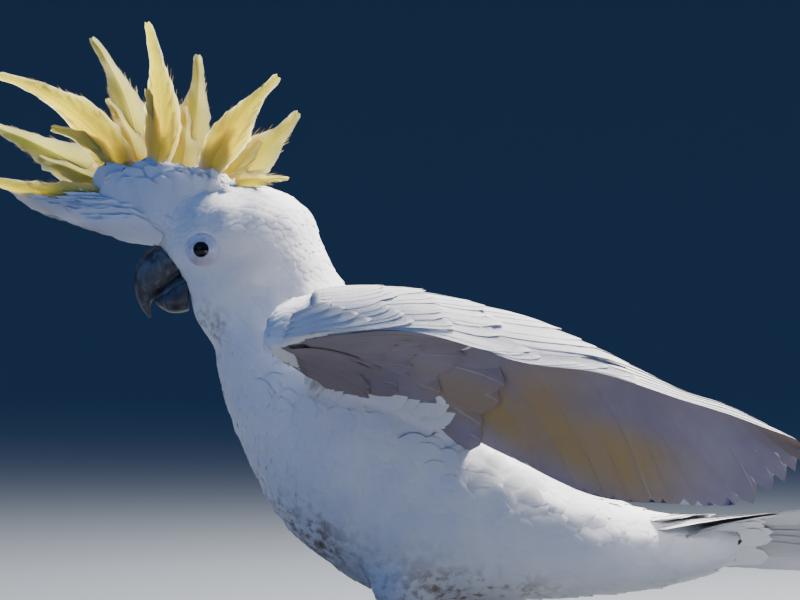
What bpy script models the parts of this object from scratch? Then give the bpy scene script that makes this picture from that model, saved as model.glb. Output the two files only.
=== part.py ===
"""Sulphur-crested cockatoo, standing still with its crest raised and both wings lifted off the body.

Metres, +Z up.  The bird faces -X and its left side is towards -Y.
Every outline is held in a design frame whose Z = 0 is the floor; the last step moves the whole bird
so that the origin is the middle of the bottom of its bounding box.
"""
import math

import bmesh
import bpy
import numpy as np
from mathutils import Matrix, Vector

# ---- driving dimensions ------------------------------------------------------------------------
GAP = 0.0003                 # air left between two solids that meet
SLIVER = 0.00004             # points nearer than this are merged after a cut
LEFT = -1.0                  # the left side lies towards -Y

# trunk and neck: back point, belly point and half width at each station from neck to tail root
BODY_STATIONS = (
    # back x, back z, belly x, belly z, half width
    (-0.0774, 0.3040, -0.1500, 0.2320, 0.0300),
    (-0.0645, 0.2819, -0.1345, 0.2100, 0.0330),
    (-0.0548, 0.2645, -0.1316, 0.1884, 0.0385),
    (-0.0432, 0.2450, -0.1213, 0.1561, 0.0460),
    (-0.0129, 0.2174, -0.1097, 0.1303, 0.0540),
    (0.0194, 0.1852, -0.0839, 0.0884, 0.0585),
    (0.0645, 0.1520, -0.0226, 0.0465, 0.0565),
    (0.1032, 0.1290, 0.0450, 0.0430, 0.0465),
    (0.1350, 0.1100, 0.1000, 0.0460, 0.0360),
    (0.1650, 0.1030, 0.1480, 0.0500, 0.0270),
    (0.1920, 0.0960, 0.1850, 0.0590, 0.0200),
    (0.2100, 0.0900, 0.2050, 0.0690, 0.0130),
)
BODY_SQUARENESS = 2.15       # exponent of the superellipse across the trunk
RING_POINTS = 24

# soft masses of the head: centre x, centre z, then half length, half width and half height
HEAD_MASSES = (
    (-0.1180, 0.2790, 0.0500, 0.0300, 0.0395),    # cranium
    (-0.1320, 0.2560, 0.0235, 0.0240, 0.0270),    # cheeks
    (-0.0920, 0.2700, 0.0310, 0.0275, 0.0410),    # nape
    (-0.1600, 0.3020, 0.0300, 0.0170, 0.0240),    # ruff at the root of the crest
    (-0.1825, 0.2905, 0.0175, 0.0150, 0.0160),    # forehead plumes, three masses to a point
    (-0.2000, 0.2942, 0.0160, 0.0110, 0.0120),
    (-0.2161, 0.2998, 0.0160, 0.0080, 0.0088),
)
FLESH_VOXEL = 0.0050
FLESH_TRIANGLES = 1650
HEAD_CUT = (Vector((-0.1130, 0.0, 0.2660)), Vector((-0.707, 0.0, 0.707)))
NECK_CUT = (Vector((-0.0870, 0.0, 0.2060)), Vector((-0.763, 0.0, 0.646)))

EYE_CENTRE = Vector((-0.1396, 0.0232, 0.2722))
EYE_RADIUS = 0.0066

# upper bill: outer point, inner point and half width, from the face to the hooked tip
UPPER_BILL = (
    (-0.1700, 0.2745, -0.1500, 0.2575, 0.0098),
    (-0.1765, 0.2715, -0.1560, 0.2540, 0.0106),
    (-0.1822, 0.2640, -0.1615, 0.2494, 0.0101),
    (-0.1845, 0.2535, -0.1668, 0.2452, 0.0086),
    (-0.1834, 0.2435, -0.1712, 0.2416, 0.0064),
    (-0.1798, 0.2350, -0.1738, 0.2366, 0.0040),
    (-0.1746, 0.2284, -0.1732, 0.2294, 0.0012),
)
# lower bill: bottom point, top point and half width, from the throat to the cutting edge
LOWER_BILL = (
    (-0.1490, 0.2330, -0.1494, 0.2562, 0.0102),
    (-0.1550, 0.2317, -0.1556, 0.2530, 0.0106),
    (-0.1612, 0.2319, -0.1611, 0.2486, 0.0098),
    (-0.1664, 0.2343, -0.1664, 0.2445, 0.0080),
    (-0.1702, 0.2378, -0.1708, 0.2408, 0.0052),
)

# crest feathers: root x, root z, side offset, heading at the root and at the tip in degrees, length, width
CREST = (
    (-0.1760, 0.2990, -0.0040, 176.0, 163.0, 0.1130, 0.0180),
    (-0.1871, 0.3070, 0.0060, 147.0, 159.0, 0.1120, 0.0225),
    (-0.1839, 0.3110, -0.0060, 112.0, 166.0, 0.1180, 0.0215),
    (-0.1800, 0.3180, 0.0060, 92.0, 126.0, 0.1000, 0.0205),
    (-0.1690, 0.3180, -0.0060, 82.0, 104.0, 0.1010, 0.0210),
    (-0.1560, 0.3180, 0.0060, 68.0, 94.0, 0.0830, 0.0210),
    (-0.1400, 0.3150, -0.0060, 68.0, 42.0, 0.0850, 0.0225),
    (-0.1335, 0.3130, 0.0060, 28.0, 54.0, 0.0740, 0.0235),
    (-0.1320, 0.3150, -0.0070, 8.0, 0.0, 0.0480, 0.0110),
)
CREST_OUTLINE = (0.40, 0.80, 1.00, 0.92, 0.66, 0.40, 0.25, 0.14)    # half width from root to tip
CREST_LEAN = math.radians(7.0)       # outward, away from the middle plane
CREST_TWIST = math.radians(28.0)     # how far the vanes turn to face forward
CREST_THICKNESS = 0.0014

# half-folded wing, from the wrist to the tip: x, then (y, z) of its front edge, ridge and hind edge.
# y is the distance outward from the bird's middle plane.
WING = (
    (-0.0985, 0.1225, 0.2080, 0.1205, 0.2125, 0.1190, 0.2070),
    (-0.0900, 0.1285, 0.2090, 0.1160, 0.2310, 0.0950, 0.2010),
    (-0.0750, 0.1310, 0.2160, 0.1120, 0.2397, 0.0650, 0.1930),
    (-0.0500, 0.1340, 0.2200, 0.1110, 0.2465, 0.0440, 0.1800),
    (0.0025, 0.1370, 0.2210, 0.1100, 0.2437, 0.0460, 0.1640),
    (0.0605, 0.1360, 0.2030, 0.1080, 0.2310, 0.0480, 0.1360),
    (0.1100, 0.1320, 0.1950, 0.1080, 0.2125, 0.0530, 0.1134),
    (0.1590, 0.1260, 0.1787, 0.1070, 0.1871, 0.0690, 0.1098),
    (0.1885, 0.1220, 0.1689, 0.1055, 0.1774, 0.0790, 0.1095),
    (0.2155, 0.1180, 0.1575, 0.1050, 0.1632, 0.0880, 0.1135),
    (0.2400, 0.1120, 0.1450, 0.1050, 0.1500, 0.0980, 0.1270),
)
WING_STEPS = 34              # stations along the wing
WING_CHORD = 6               # spans from front edge to hind edge on each face
ARM_HOLLOW = 0.20            # how far the under face follows the upper one below the arm
FEATHER_HOLLOW = 0.84        # and below the flight feathers
ARM_END = 0.055              # x where the arm's thickness has run out
ARM_FADE = 0.090
VANE_THICKNESS = 0.0012
SHOULDER_FILL = 0.013        # how far the plumage fills the dip between wing and back
SCALLOP_PITCH = 0.0150       # from one feather tip to the next along the hind edge
SCALLOP_DEPTH = 0.0030
ARM_CUT = (Vector((0.0345, 0.0, 0.1900)), Vector((-0.94, 0.0, 0.34)))
HAND_CUT = (Vector((0.1400, 0.0, 0.1120)), Vector((0.62, 0.0, 0.78)))

# tail
TAIL_ROOT_X = 0.140
TAIL_LENGTH = 0.170
TAIL_ROOT_Z = 0.0940
TAIL_RISE = 0.010            # lift per metre of length
TAIL_ROLL = math.radians(28.0)
TAIL_HALF_WIDTHS = (0.014, 0.060)
TAIL_ARCH = 0.008
TAIL_FEATHERS = 12
TAIL_THICKNESS = 0.0026

# legs
LEG_Y = 0.0300
FOOT_CENTRE = Vector((-0.0080, LEFT * LEG_Y, 0.0062))
PAD_RADII = Vector((0.0072, 0.0068, 0.0066))
THIGH_TOP = Vector((-0.0180, LEFT * LEG_Y, 0.0640))
ANKLE = Vector((0.0040, LEFT * LEG_Y, 0.0330))
SHANK_RADIUS = 0.0044
# toe number, heading from forward in degrees (outward positive), length, radius at its root
TOES = (
    (1, 158.0, 0.0210, 0.0038),
    (2, -14.0, 0.0270, 0.0042),
    (3, 12.0, 0.0370, 0.0044),
    (4, 200.0, 0.0330, 0.0040),
)
CLAW_LENGTH = 0.0135

COLOURS = {
    "plumage": ((0.86, 0.86, 0.86), 0.85),
    "crest_yellow": ((0.86, 0.70, 0.28), 0.80),
    "bill_horn": ((0.055, 0.058, 0.065), 0.38),
    "eye_dark": ((0.010, 0.008, 0.007), 0.08),
    "leg_scale": ((0.085, 0.085, 0.095), 0.60),
    "claw_horn": ((0.040, 0.038, 0.040), 0.40),
}


# ---- scene helpers -----------------------------------------------------------------------------
def clear_scene():
    for thing in list(bpy.data.objects):
        bpy.data.objects.remove(thing, do_unlink=True)


def new_collection(name):
    made = bpy.data.collections.new(name)
    bpy.context.scene.collection.children.link(made)
    return made


def material(slot):
    found = bpy.data.materials.get(slot)
    if found:
        return found
    colour, roughness = COLOURS[slot]
    made = bpy.data.materials.new(slot)
    made.use_nodes = True
    shader = made.node_tree.nodes["Principled BSDF"]
    shader.inputs["Base Color"].default_value = (*colour, 1.0)
    shader.inputs["Roughness"].default_value = roughness
    shader.inputs["Metallic"].default_value = 0.0
    made.diffuse_color = (*colour, 1.0)
    return made


def add_object(name, mesh, slot, home):
    made = bpy.data.objects.new(name, mesh)
    mesh.materials.clear()
    mesh.materials.append(material(slot))
    home.objects.link(made)
    return made


def mesh_from(name, points, faces):
    mesh = bpy.data.meshes.new(name)
    mesh.from_pydata([tuple(point) for point in points], [], faces)
    return mesh


def loft(name, rings):
    """Closed body through rings of equal point count, with a fan cap at each end."""
    count = len(rings[0])
    points = [point for ring in rings for point in ring]
    faces = []
    for index in range(len(rings) - 1):
        base = index * count
        for step in range(count):
            after = (step + 1) % count
            faces.append((base + step, base + after, base + count + after, base + count + step))
    for ring, first in ((rings[0], 0), (rings[-1], (len(rings) - 1) * count)):
        middle = len(points)
        points.append(sum((Vector(point) for point in ring), Vector()) / count)
        for step in range(count):
            faces.append((first + step, first + (step + 1) % count, middle))
    mesh = mesh_from(name, points, faces)
    face_outward(mesh)
    return mesh


def face_outward(mesh):
    shape = bmesh.new()
    shape.from_mesh(mesh)
    bmesh.ops.recalc_face_normals(shape, faces=shape.faces)
    if shape.calc_volume(signed=True) < 0:
        bmesh.ops.reverse_faces(shape, faces=shape.faces)
    shape.to_mesh(mesh)
    shape.free()


def ellipsoid(name, centre, radii, segments=32, rings=20):
    shape = bmesh.new()
    bmesh.ops.create_uvsphere(shape, u_segments=segments, v_segments=rings, radius=1.0)
    bmesh.ops.scale(shape, vec=radii, verts=shape.verts)
    bmesh.ops.translate(shape, vec=centre, verts=shape.verts)
    mesh = bpy.data.meshes.new(name)
    shape.to_mesh(mesh)
    shape.free()
    return mesh


def evaluated(thing):
    """The object's mesh with its modifiers worked out, as a new mesh."""
    bpy.context.view_layer.update()
    graph = bpy.context.evaluated_depsgraph_get()
    return bpy.data.meshes.new_from_object(thing.evaluated_get(graph))


def bake(thing):
    mesh = evaluated(thing)
    thing.modifiers.clear()
    thing.data = mesh
    return thing


def joined(name, meshes):
    shape = bmesh.new()
    for mesh in meshes:
        shape.from_mesh(mesh)
    made = bpy.data.meshes.new(name)
    shape.to_mesh(made)
    shape.free()
    return made


def keep_largest(mesh):
    """Drop every loose piece but the largest by volume, and merge points that nearly touch."""
    shape = bmesh.new()
    shape.from_mesh(mesh)
    bmesh.ops.remove_doubles(shape, verts=shape.verts, dist=SLIVER)
    bmesh.ops.dissolve_degenerate(shape, edges=shape.edges, dist=SLIVER)
    bmesh.ops.triangulate(shape, faces=shape.faces)
    shape.faces.ensure_lookup_table()
    pieces = []
    seen = set()
    for face in shape.faces:
        if face in seen:
            continue
        piece = []
        waiting = [face]
        seen.add(face)
        while waiting:
            current = waiting.pop()
            piece.append(current)
            for edge in current.edges:
                if len(edge.link_faces) != 2:
                    continue
                for other in edge.link_faces:
                    if other not in seen:
                        seen.add(other)
                        waiting.append(other)
        pieces.append(piece)

    def volume(piece):
        return abs(sum(f.verts[0].co.dot(f.verts[1].co.cross(f.verts[2].co)) for f in piece)) / 6.0

    pieces.sort(key=volume, reverse=True)
    for piece in pieces[1:]:
        bmesh.ops.delete(shape, geom=piece, context="FACES")
    loose = [vert for vert in shape.verts if not vert.link_faces]
    bmesh.ops.delete(shape, geom=loose, context="VERTS")
    shape.to_mesh(mesh)
    shape.free()
    return mesh


def cut_by(thing, cutter):
    """Take the cutter out of the object and keep what is left as one body."""
    step = thing.modifiers.new("cut", "BOOLEAN")
    step.operation = "DIFFERENCE"
    step.solver = "EXACT"
    step.object = cutter
    bake(thing)
    keep_largest(thing.data)
    return thing


def grown(thing, distance, cutters):
    """A hidden copy of the object, larger all round by a distance."""
    mesh = evaluated(thing)
    shape = bmesh.new()
    shape.from_mesh(mesh)
    shape.normal_update()
    shifts = [(vert, vert.normal.copy()) for vert in shape.verts]
    for vert, normal in shifts:
        vert.co += normal * distance
    shape.to_mesh(mesh)
    shape.free()
    return cutter_object(thing.name + "_clearance", mesh, cutters)


def mirrored(thing, home):
    """The right-hand copy of a left-hand object."""
    mesh = evaluated(thing)
    shape = bmesh.new()
    shape.from_mesh(mesh)
    for vert in shape.verts:
        vert.co.y = -vert.co.y
    bmesh.ops.reverse_faces(shape, faces=shape.faces)
    shape.to_mesh(mesh)
    shape.free()
    made = bpy.data.objects.new(thing.name.replace("left", "right"), mesh)
    home.objects.link(made)
    return made


def cutter_object(name, mesh, cutters):
    made = bpy.data.objects.new(name, mesh)
    cutters.objects.link(made)
    made.hide_render = True
    made.display_type = "WIRE"
    return made


def slab(name, point, normal, cutters, thickness, reach):
    """A square plate centred on a point, across a normal."""
    shape = bmesh.new()
    bmesh.ops.create_cube(shape, size=1.0)
    bmesh.ops.scale(shape, vec=(reach, reach, thickness), verts=shape.verts)
    turn = Vector(normal).to_track_quat("Z", "Y").to_matrix().to_4x4()
    bmesh.ops.transform(shape, matrix=Matrix.Translation(point) @ turn, verts=shape.verts)
    mesh = bpy.data.meshes.new(name)
    shape.to_mesh(mesh)
    shape.free()
    return cutter_object(name, mesh, cutters)


def half_space(name, point, normal, cutters, reach=0.6):
    """A big block that fills the side a normal points to, from half the gap before the plane."""
    centre = Vector(point) + Vector(normal).normalized() * (reach / 2 - GAP / 2)
    return slab(name, centre, normal, cutters, thickness=reach, reach=2 * reach)


def split(thing, point, normal, name_behind, home, slot, cutters):
    """Part an object at a plane.  The object keeps the side the normal points to."""
    behind = add_object(name_behind, thing.data.copy(), slot, home)
    ahead_block = half_space(thing.name + "_ahead", point, normal, cutters)
    behind_block = half_space(thing.name + "_behind", point, -Vector(normal), cutters)
    cut_by(behind, ahead_block)
    cut_by(thing, behind_block)
    return thing, behind


# ---- curves ------------------------------------------------------------------------------------
def smooth_rows(rows, fractions):
    """Catmull-Rom values of a table of rows at fractions of the way through it."""
    table = np.array(rows, dtype=float)
    table = np.vstack([2 * table[0] - table[1], table, 2 * table[-1] - table[-2]])
    spans = len(rows) - 1
    out = []
    for fraction in fractions:
        place = min(max(fraction, 0.0), 1.0) * spans
        index = min(int(place), spans - 1)
        t = place - index
        a, b, c, d = table[index:index + 4]
        out.append(0.5 * (2 * b + (c - a) * t + (2 * a - 5 * b + 4 * c - d) * t * t
                          + (3 * b - a - 3 * c + d) * t ** 3))
    return np.array(out)


def superellipse(count, exponent):
    ring = []
    for step in range(count):
        angle = 2 * math.pi * step / count
        across = math.copysign(abs(math.sin(angle)) ** (2 / exponent), math.sin(angle))
        along = math.copysign(abs(math.cos(angle)) ** (2 / exponent), math.cos(angle))
        ring.append((along, across))
    return ring


# ---- head, neck, trunk -------------------------------------------------------------------------
def trunk_loft():
    rows = smooth_rows(BODY_STATIONS, np.linspace(0, 1, 28))
    outline = superellipse(RING_POINTS, BODY_SQUARENESS)
    rings = []
    for back_x, back_z, belly_x, belly_z, half in rows:
        back = Vector((back_x, 0, back_z))
        belly = Vector((belly_x, 0, belly_z))
        middle = (back + belly) / 2
        up = (back - belly) / 2
        rings.append([middle + up * along + Vector((0, half * across, 0)) for along, across in outline])
    return loft("trunk_loft", rings)


def flesh_mass(home):
    """Head, neck and trunk as one soft body, before it is parted."""
    parts = [trunk_loft(),
             *[ellipsoid("head_mass", Vector((x, 0, z)), Vector((long, wide, high)))
               for x, z, long, wide, high in HEAD_MASSES]]
    body = add_object("trunk", joined("flesh", parts), "plumage", home)
    melt = body.modifiers.new("melt", "REMESH")
    melt.mode = "VOXEL"
    melt.voxel_size = FLESH_VOXEL
    melt.adaptivity = 0.0
    soften = body.modifiers.new("soften", "SMOOTH")
    soften.factor = 0.5
    soften.iterations = 5
    bake(body)
    facets = sum(len(face.vertices) - 2 for face in body.data.polygons)
    thin = body.modifiers.new("thin", "DECIMATE")
    thin.ratio = FLESH_TRIANGLES / facets
    even = body.modifiers.new("even", "MIRROR")
    even.use_axis = (False, True, False)
    even.use_bisect_axis = (False, True, False)
    even.merge_threshold = 0.0001
    bake(body)
    keep_largest(body.data)
    return body


def part_flesh(body, home, cutters):
    """Head, neck and trunk, parted by thin plane cuts."""
    point, normal = NECK_CUT
    _, trunk = split(body, point, normal, "trunk_behind", home, "plumage", cutters)
    body.name = "neck"
    trunk.name = "trunk"
    point, normal = HEAD_CUT
    head, neck = split(body, point, normal, "neck_behind", home, "plumage", cutters)
    head.name = "head"
    neck.name = "neck"
    return head, neck, trunk


# ---- bill and eyes -----------------------------------------------------------------------------
def bill_half(name, stations, home, steps, points=12):
    rows = smooth_rows(stations, np.linspace(0, 1, steps))
    outline = superellipse(points, 2.3)
    rings = []
    for outer_x, outer_z, inner_x, inner_z, half in rows:
        outer = Vector((outer_x, 0, outer_z))
        inner = Vector((inner_x, 0, inner_z))
        middle = (outer + inner) / 2
        reach = (outer - inner) / 2
        rings.append([middle + reach * along + Vector((0, half * across, 0)) for along, across in outline])
    return add_object(name, loft(name, rings), "bill_horn", home)


def add_eyes(home):
    centre = Vector((EYE_CENTRE.x, EYE_CENTRE.y * LEFT, EYE_CENTRE.z))
    mesh = ellipsoid("eye_left", centre, Vector((EYE_RADIUS,) * 3), segments=12, rings=7)
    left = add_object("eye_left", mesh, "eye_dark", home)
    return [left, mirrored(left, home)]


# ---- feathers of the crest ---------------------------------------------------------------------
def crest_feather(index, row, home):
    """A pointed blade whose shaft turns evenly from its root heading to its tip heading."""
    root_x, root_z, offset, first, last, length, width = row
    steps = 9
    side = math.copysign(1.0, offset)
    place = Vector((root_x, offset, root_z))
    rings = []
    for step in range(steps + 1):
        t = step / steps
        heading = math.radians(first + (last - first) * t)
        forward = Vector((math.cos(heading), side * math.sin(CREST_LEAN), math.sin(heading))).normalized()
        across = Vector((-math.sin(heading), 0, math.cos(heading)))
        across = Matrix.Rotation(side * CREST_TWIST * min(1.0, 2 * t), 3, forward) @ across
        outward = forward.cross(across).normalized()
        half = width / 2 * smooth_rows([(share,) for share in CREST_OUTLINE], [t])[0, 0]
        thick = CREST_THICKNESS / 2 * (1.0 - 0.45 * t)
        rings.append([place + across * half, place + outward * thick,
                      place - across * half, place - outward * thick])
        place = place + forward * (length / steps)
    name = "crest_%d" % (index + 1)
    return add_object(name, loft(name, rings), "crest_yellow", home)


# ---- wings -------------------------------------------------------------------------------------
def wing_rings():
    rings = []
    fractions = np.linspace(0, 1, WING_STEPS)
    for x, front_y, front_z, ridge_y, ridge_z, hind_y, hind_z in smooth_rows(WING, fractions):
        front = np.array((front_y, front_z))
        ridge = np.array((ridge_y, ridge_z))
        hind = np.array((hind_y, hind_z))
        scallop = SCALLOP_DEPTH * abs(math.sin(math.pi * x / SCALLOP_PITCH)) if x > 0.0 else 0.0
        chord = hind - front
        hind = hind - chord / np.linalg.norm(chord) * (SCALLOP_DEPTH - scallop)
        fade = min(max((ARM_END - x) / ARM_FADE, 0.0), 1.0)
        # the upper face is a smooth curve over the ridge, fuller over the shoulder
        knots = np.array([front, front * 0.45 + ridge * 0.55 + np.array((0.004, 0.004)), ridge,
                          ridge * 0.55 + hind * 0.45 + np.array((0.003, 0.006 + SHOULDER_FILL * fade)), hind])
        upper = smooth_rows(knots, np.linspace(0, 1, WING_CHORD + 1))
        # the under face follows the upper one: nearly flat below the arm, hollow below the feathers
        hollow = FEATHER_HOLLOW + (ARM_HOLLOW - FEATHER_HOLLOW) * fade
        upward = np.array((chord[1], -chord[0])) / np.linalg.norm(chord)
        if upward[1] < 0:
            upward = -upward
        lower = []
        for step in range(WING_CHORD + 1):
            flat = front + (hind - front) * step / WING_CHORD
            lower.append(flat * (1 - hollow) + upper[step] * hollow - upward * VANE_THICKNESS)
        loop = list(upper) + lower[::-1]
        rings.append([Vector((x, LEFT * y, z)) for y, z in loop])
    return rings


def add_wings(body_clearance, home, cutters):
    """The left wing, parted into arm with coverts, secondaries and primaries, and its mirror image."""
    wing = add_object("wing_left_arm", loft("wing_left", wing_rings()), "plumage", home)
    cut_by(wing, body_clearance)
    point, normal = ARM_CUT
    arm, rest = split(wing, point, normal, "wing_left_primaries", home, "plumage", cutters)
    point, normal = HAND_CUT
    hand, inner = split(rest, point, normal, "wing_left_secondaries", home, "plumage", cutters)
    for piece in (arm, hand, inner):
        mirrored(piece, home)


# ---- tail --------------------------------------------------------------------------------------
def add_tail(home):
    """Twelve feathers as one arched fan with a rounded tip for each feather."""
    columns = TAIL_FEATHERS * 2
    rows = 4
    near, far = TAIL_HALF_WIDTHS
    points = []
    for row in range(rows + 1):
        t = row / rows
        half = near + (far - near) * t ** 0.8
        for column in range(columns + 1):
            across = 2 * column / columns - 1
            tip = abs(math.sin(math.pi * column / 2)) * 0.004
            rounding = 0.014 * across * across
            reach = TAIL_LENGTH * t + (tip - 0.004 - rounding) * t ** 4
            side_y = half * across
            height = TAIL_ROOT_Z + TAIL_RISE * reach - TAIL_ARCH * across * across
            y = side_y * math.cos(TAIL_ROLL)
            z = height - side_y * math.sin(TAIL_ROLL)
            points.append((TAIL_ROOT_X + reach, y, z))
    faces = []
    for row in range(rows):
        for column in range(columns):
            first = row * (columns + 1) + column
            faces.append((first, first + 1, first + columns + 2, first + columns + 1))
    tail = add_object("tail", mesh_from("tail", points, faces), "plumage", home)
    thickness = tail.modifiers.new("thickness", "SOLIDIFY")
    thickness.thickness = TAIL_THICKNESS
    thickness.offset = 0.0
    bake(tail)
    face_outward(tail.data)
    return tail


# ---- legs --------------------------------------------------------------------------------------
def tube(name, places, radii, points=10):
    """A closed tube of changing radius along a run of places."""
    rings = []
    for index, place in enumerate(places):
        before = places[max(0, index - 1)]
        after = places[min(len(places) - 1, index + 1)]
        along = (after - before).normalized()
        sideways = along.cross(Vector((0, 0, 1))).normalized()
        upward = sideways.cross(along).normalized()
        rings.append([place + (sideways * math.cos(a) + upward * math.sin(a)) * radii[index]
                      for a in [2 * math.pi * step / points for step in range(points)]])
    return loft(name, rings)


def toe_direction(heading):
    angle = math.radians(heading)
    return Vector((-math.cos(angle), LEFT * math.sin(angle), 0))


def toe_places(heading, length, radius):
    start = FOOT_CENTRE
    forward = toe_direction(heading)
    places = [start + Vector((0, 0, 0.002))]
    for t in (0.30, 0.55, 0.80, 1.0):
        height = radius * (1.0 - 0.28 * t) * 0.90 + 0.0022 * math.sin(math.pi * t) * (1 - t)
        places.append(Vector((start.x, start.y, 0)) + forward * length * t + Vector((0, 0, height)))
    return places


def add_foot(home, cutters):
    shapes = []
    for number, heading, length, radius in TOES:
        places = toe_places(heading, length, radius)
        radii = [radius * 1.05, radius, radius * 0.92, radius * 0.86, radius * 0.70]
        shapes.append(tube("toe", places, radii))
    shapes.append(ellipsoid("pad", FOOT_CENTRE, PAD_RADII, 16, 10))
    foot = add_object("foot_left", joined("foot", shapes), "leg_scale", home)
    melt = foot.modifiers.new("melt", "REMESH")
    melt.mode = "VOXEL"
    melt.voxel_size = 0.0011
    soften = foot.modifiers.new("soften", "SMOOTH")
    soften.factor = 0.5
    soften.iterations = 2
    bake(foot)
    facets = sum(len(face.vertices) - 2 for face in foot.data.polygons)
    thin = foot.modifiers.new("thin", "DECIMATE")
    thin.ratio = 300 / facets
    bake(foot)
    floor = half_space("floor", Vector((0, 0, -GAP / 2)), Vector((0, 0, -1)), cutters)
    cut_by(foot, floor)
    return foot


def add_claws(foot, home, cutters):
    clearance = grown(foot, GAP, cutters)
    claws = []
    for number, heading, length, radius in TOES:
        forward = toe_direction(heading)
        start = toe_places(heading, length, radius)[-1]
        places = []
        radii = []
        steps = 4
        for step in range(steps + 1):
            t = step / steps
            bend = math.radians(62 * t)
            drop = CLAW_LENGTH * (1 - math.cos(bend)) * 0.55
            rise = 0.0022 * math.sin(math.pi * t)
            reach = CLAW_LENGTH * math.sin(bend) - 0.0020
            centre = start + forward * reach
            centre.z = max(start.z + 0.0006 + rise - drop, 0.0011 * (1 - t) + 0.0009)
            places.append(centre)
            radii.append(0.0022 * (1 - t) + 0.0004)
        claw = add_object("claw_left_%d" % number, tube("claw", places, radii, 6), "claw_horn", home)
        claws.append(cut_by(claw, clearance))
    return claws


def add_legs(trunk_clearance, home, cutters):
    """The left leg from thigh to claws, and its mirror image."""
    foot_top = FOOT_CENTRE + Vector((0.001, 0, 0.004))
    foot = add_foot(home, cutters)
    claws = add_claws(foot, home, cutters)
    shank_radii = [SHANK_RADIUS * 1.15, SHANK_RADIUS, SHANK_RADIUS, SHANK_RADIUS * 1.25]
    shank_places = [ANKLE.lerp(foot_top, t) for t in (-0.15, 0.25, 0.65, 1.05)]
    shank = add_object("tarsus_left", tube("tarsus", shank_places, shank_radii, 12), "leg_scale", home)
    cut_by(shank, grown(foot, GAP, cutters))
    fractions = (-0.25, 0.1, 0.4, 0.65, 0.85, 0.98)
    thigh_radii = [0.0150, 0.0185, 0.0170, 0.0130, 0.0092, 0.0062]
    thigh_places = [THIGH_TOP.lerp(ANKLE, t) for t in fractions]
    thigh = add_object("thigh_left", tube("thigh", thigh_places, thigh_radii, 14), "plumage", home)
    cut_by(thigh, trunk_clearance)
    cut_by(shank, grown(thigh, GAP, cutters))
    for piece in claws + [foot, shank, thigh]:
        mirrored(piece, home)


# ---- whole bird --------------------------------------------------------------------------------
def build():
    clear_scene()
    home = new_collection("cockatoo")
    cutters = new_collection("cutters")
    body = flesh_mass(home)
    eyes = add_eyes(home)
    upper = bill_half("bill_upper", UPPER_BILL, home, 12)
    lower = bill_half("bill_lower", LOWER_BILL, home, 9)
    cut_by(lower, grown(upper, GAP, cutters))
    for piece in eyes + [upper, lower]:
        cut_by(body, grown(piece, GAP, cutters))
    clearance = grown(body, GAP, cutters)
    for index, row in enumerate(CREST):
        cut_by(crest_feather(index, row, home), clearance)
    tail = add_tail(home)
    cut_by(tail, clearance)
    add_wings(clearance, home, cutters)
    add_legs(clearance, home, cutters)
    part_flesh(body, home, cutters)
    settle(home)


def settle(home):
    """Put the origin at the middle of the bottom of the bird's box."""
    bpy.context.view_layer.update()
    corners = np.array([vert.co for thing in home.objects for vert in thing.data.vertices])
    low = corners.min(axis=0)
    high = corners.max(axis=0)
    shift = Matrix.Translation((-(low[0] + high[0]) / 2, -(low[1] + high[1]) / 2, -low[2]))
    for thing in home.objects:
        thing.data.transform(shift)
        thing.data.shade_smooth()


build()
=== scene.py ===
"""Looks of the sulphur-crested cockatoo: skin, coat, wings, tail, crest, bill, eyes, legs and light.

Places are in the bird's design frame (metres, floor at Z = 0, facing -X, left side towards -Y) and are
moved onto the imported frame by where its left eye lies.
"""

import itertools
import math

import bmesh
import bpy
import numpy as np
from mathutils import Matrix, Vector, noise
from mathutils.bvhtree import BVHTree


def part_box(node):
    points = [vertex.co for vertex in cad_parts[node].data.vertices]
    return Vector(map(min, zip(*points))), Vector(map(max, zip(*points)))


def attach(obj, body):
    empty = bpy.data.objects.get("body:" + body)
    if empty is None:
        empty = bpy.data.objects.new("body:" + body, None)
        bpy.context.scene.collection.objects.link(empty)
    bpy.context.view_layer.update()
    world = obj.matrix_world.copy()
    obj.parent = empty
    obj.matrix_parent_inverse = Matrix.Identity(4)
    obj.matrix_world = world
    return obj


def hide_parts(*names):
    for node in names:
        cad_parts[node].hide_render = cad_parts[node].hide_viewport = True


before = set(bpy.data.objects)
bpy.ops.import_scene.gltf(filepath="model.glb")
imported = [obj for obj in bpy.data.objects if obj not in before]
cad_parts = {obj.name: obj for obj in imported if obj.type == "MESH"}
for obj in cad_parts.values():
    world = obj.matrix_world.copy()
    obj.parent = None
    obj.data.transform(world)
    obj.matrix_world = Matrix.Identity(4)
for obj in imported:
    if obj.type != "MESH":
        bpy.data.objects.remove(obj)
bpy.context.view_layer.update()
EYE = np.array((-0.1396, -0.0232, 0.2722))
EYE_LOW, EYE_HIGH = np.array(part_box("eye_left"))
SHIFT = (EYE_LOW + EYE_HIGH) / 2 - EYE
EYE_RADIUS = (EYE_HIGH[1] - EYE_LOW[1]) / 2
MIRROR = np.array((1, -1, 1))
SIDES = (("left", False), ("right", True))
rng = np.random.default_rng(20)

WHITE = (0.83, 0.83, 0.84)
COOL_WHITE = (0.80, 0.80, 0.83)
WARM_WHITE = (0.88, 0.87, 0.86)
CREST_YELLOW = (0.88, 0.62, 0.07)
CREST_PALE = (0.92, 0.74, 0.24)
WASH_YELLOW = (0.43, 0.285, 0.10)
PAINTED_SHADE_LILAC = (0.25, 0.215, 0.28)
PAINTED_SHADE_BROWN = (0.22, 0.155, 0.13)
EARTH = (0.24, 0.15, 0.09)


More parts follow.
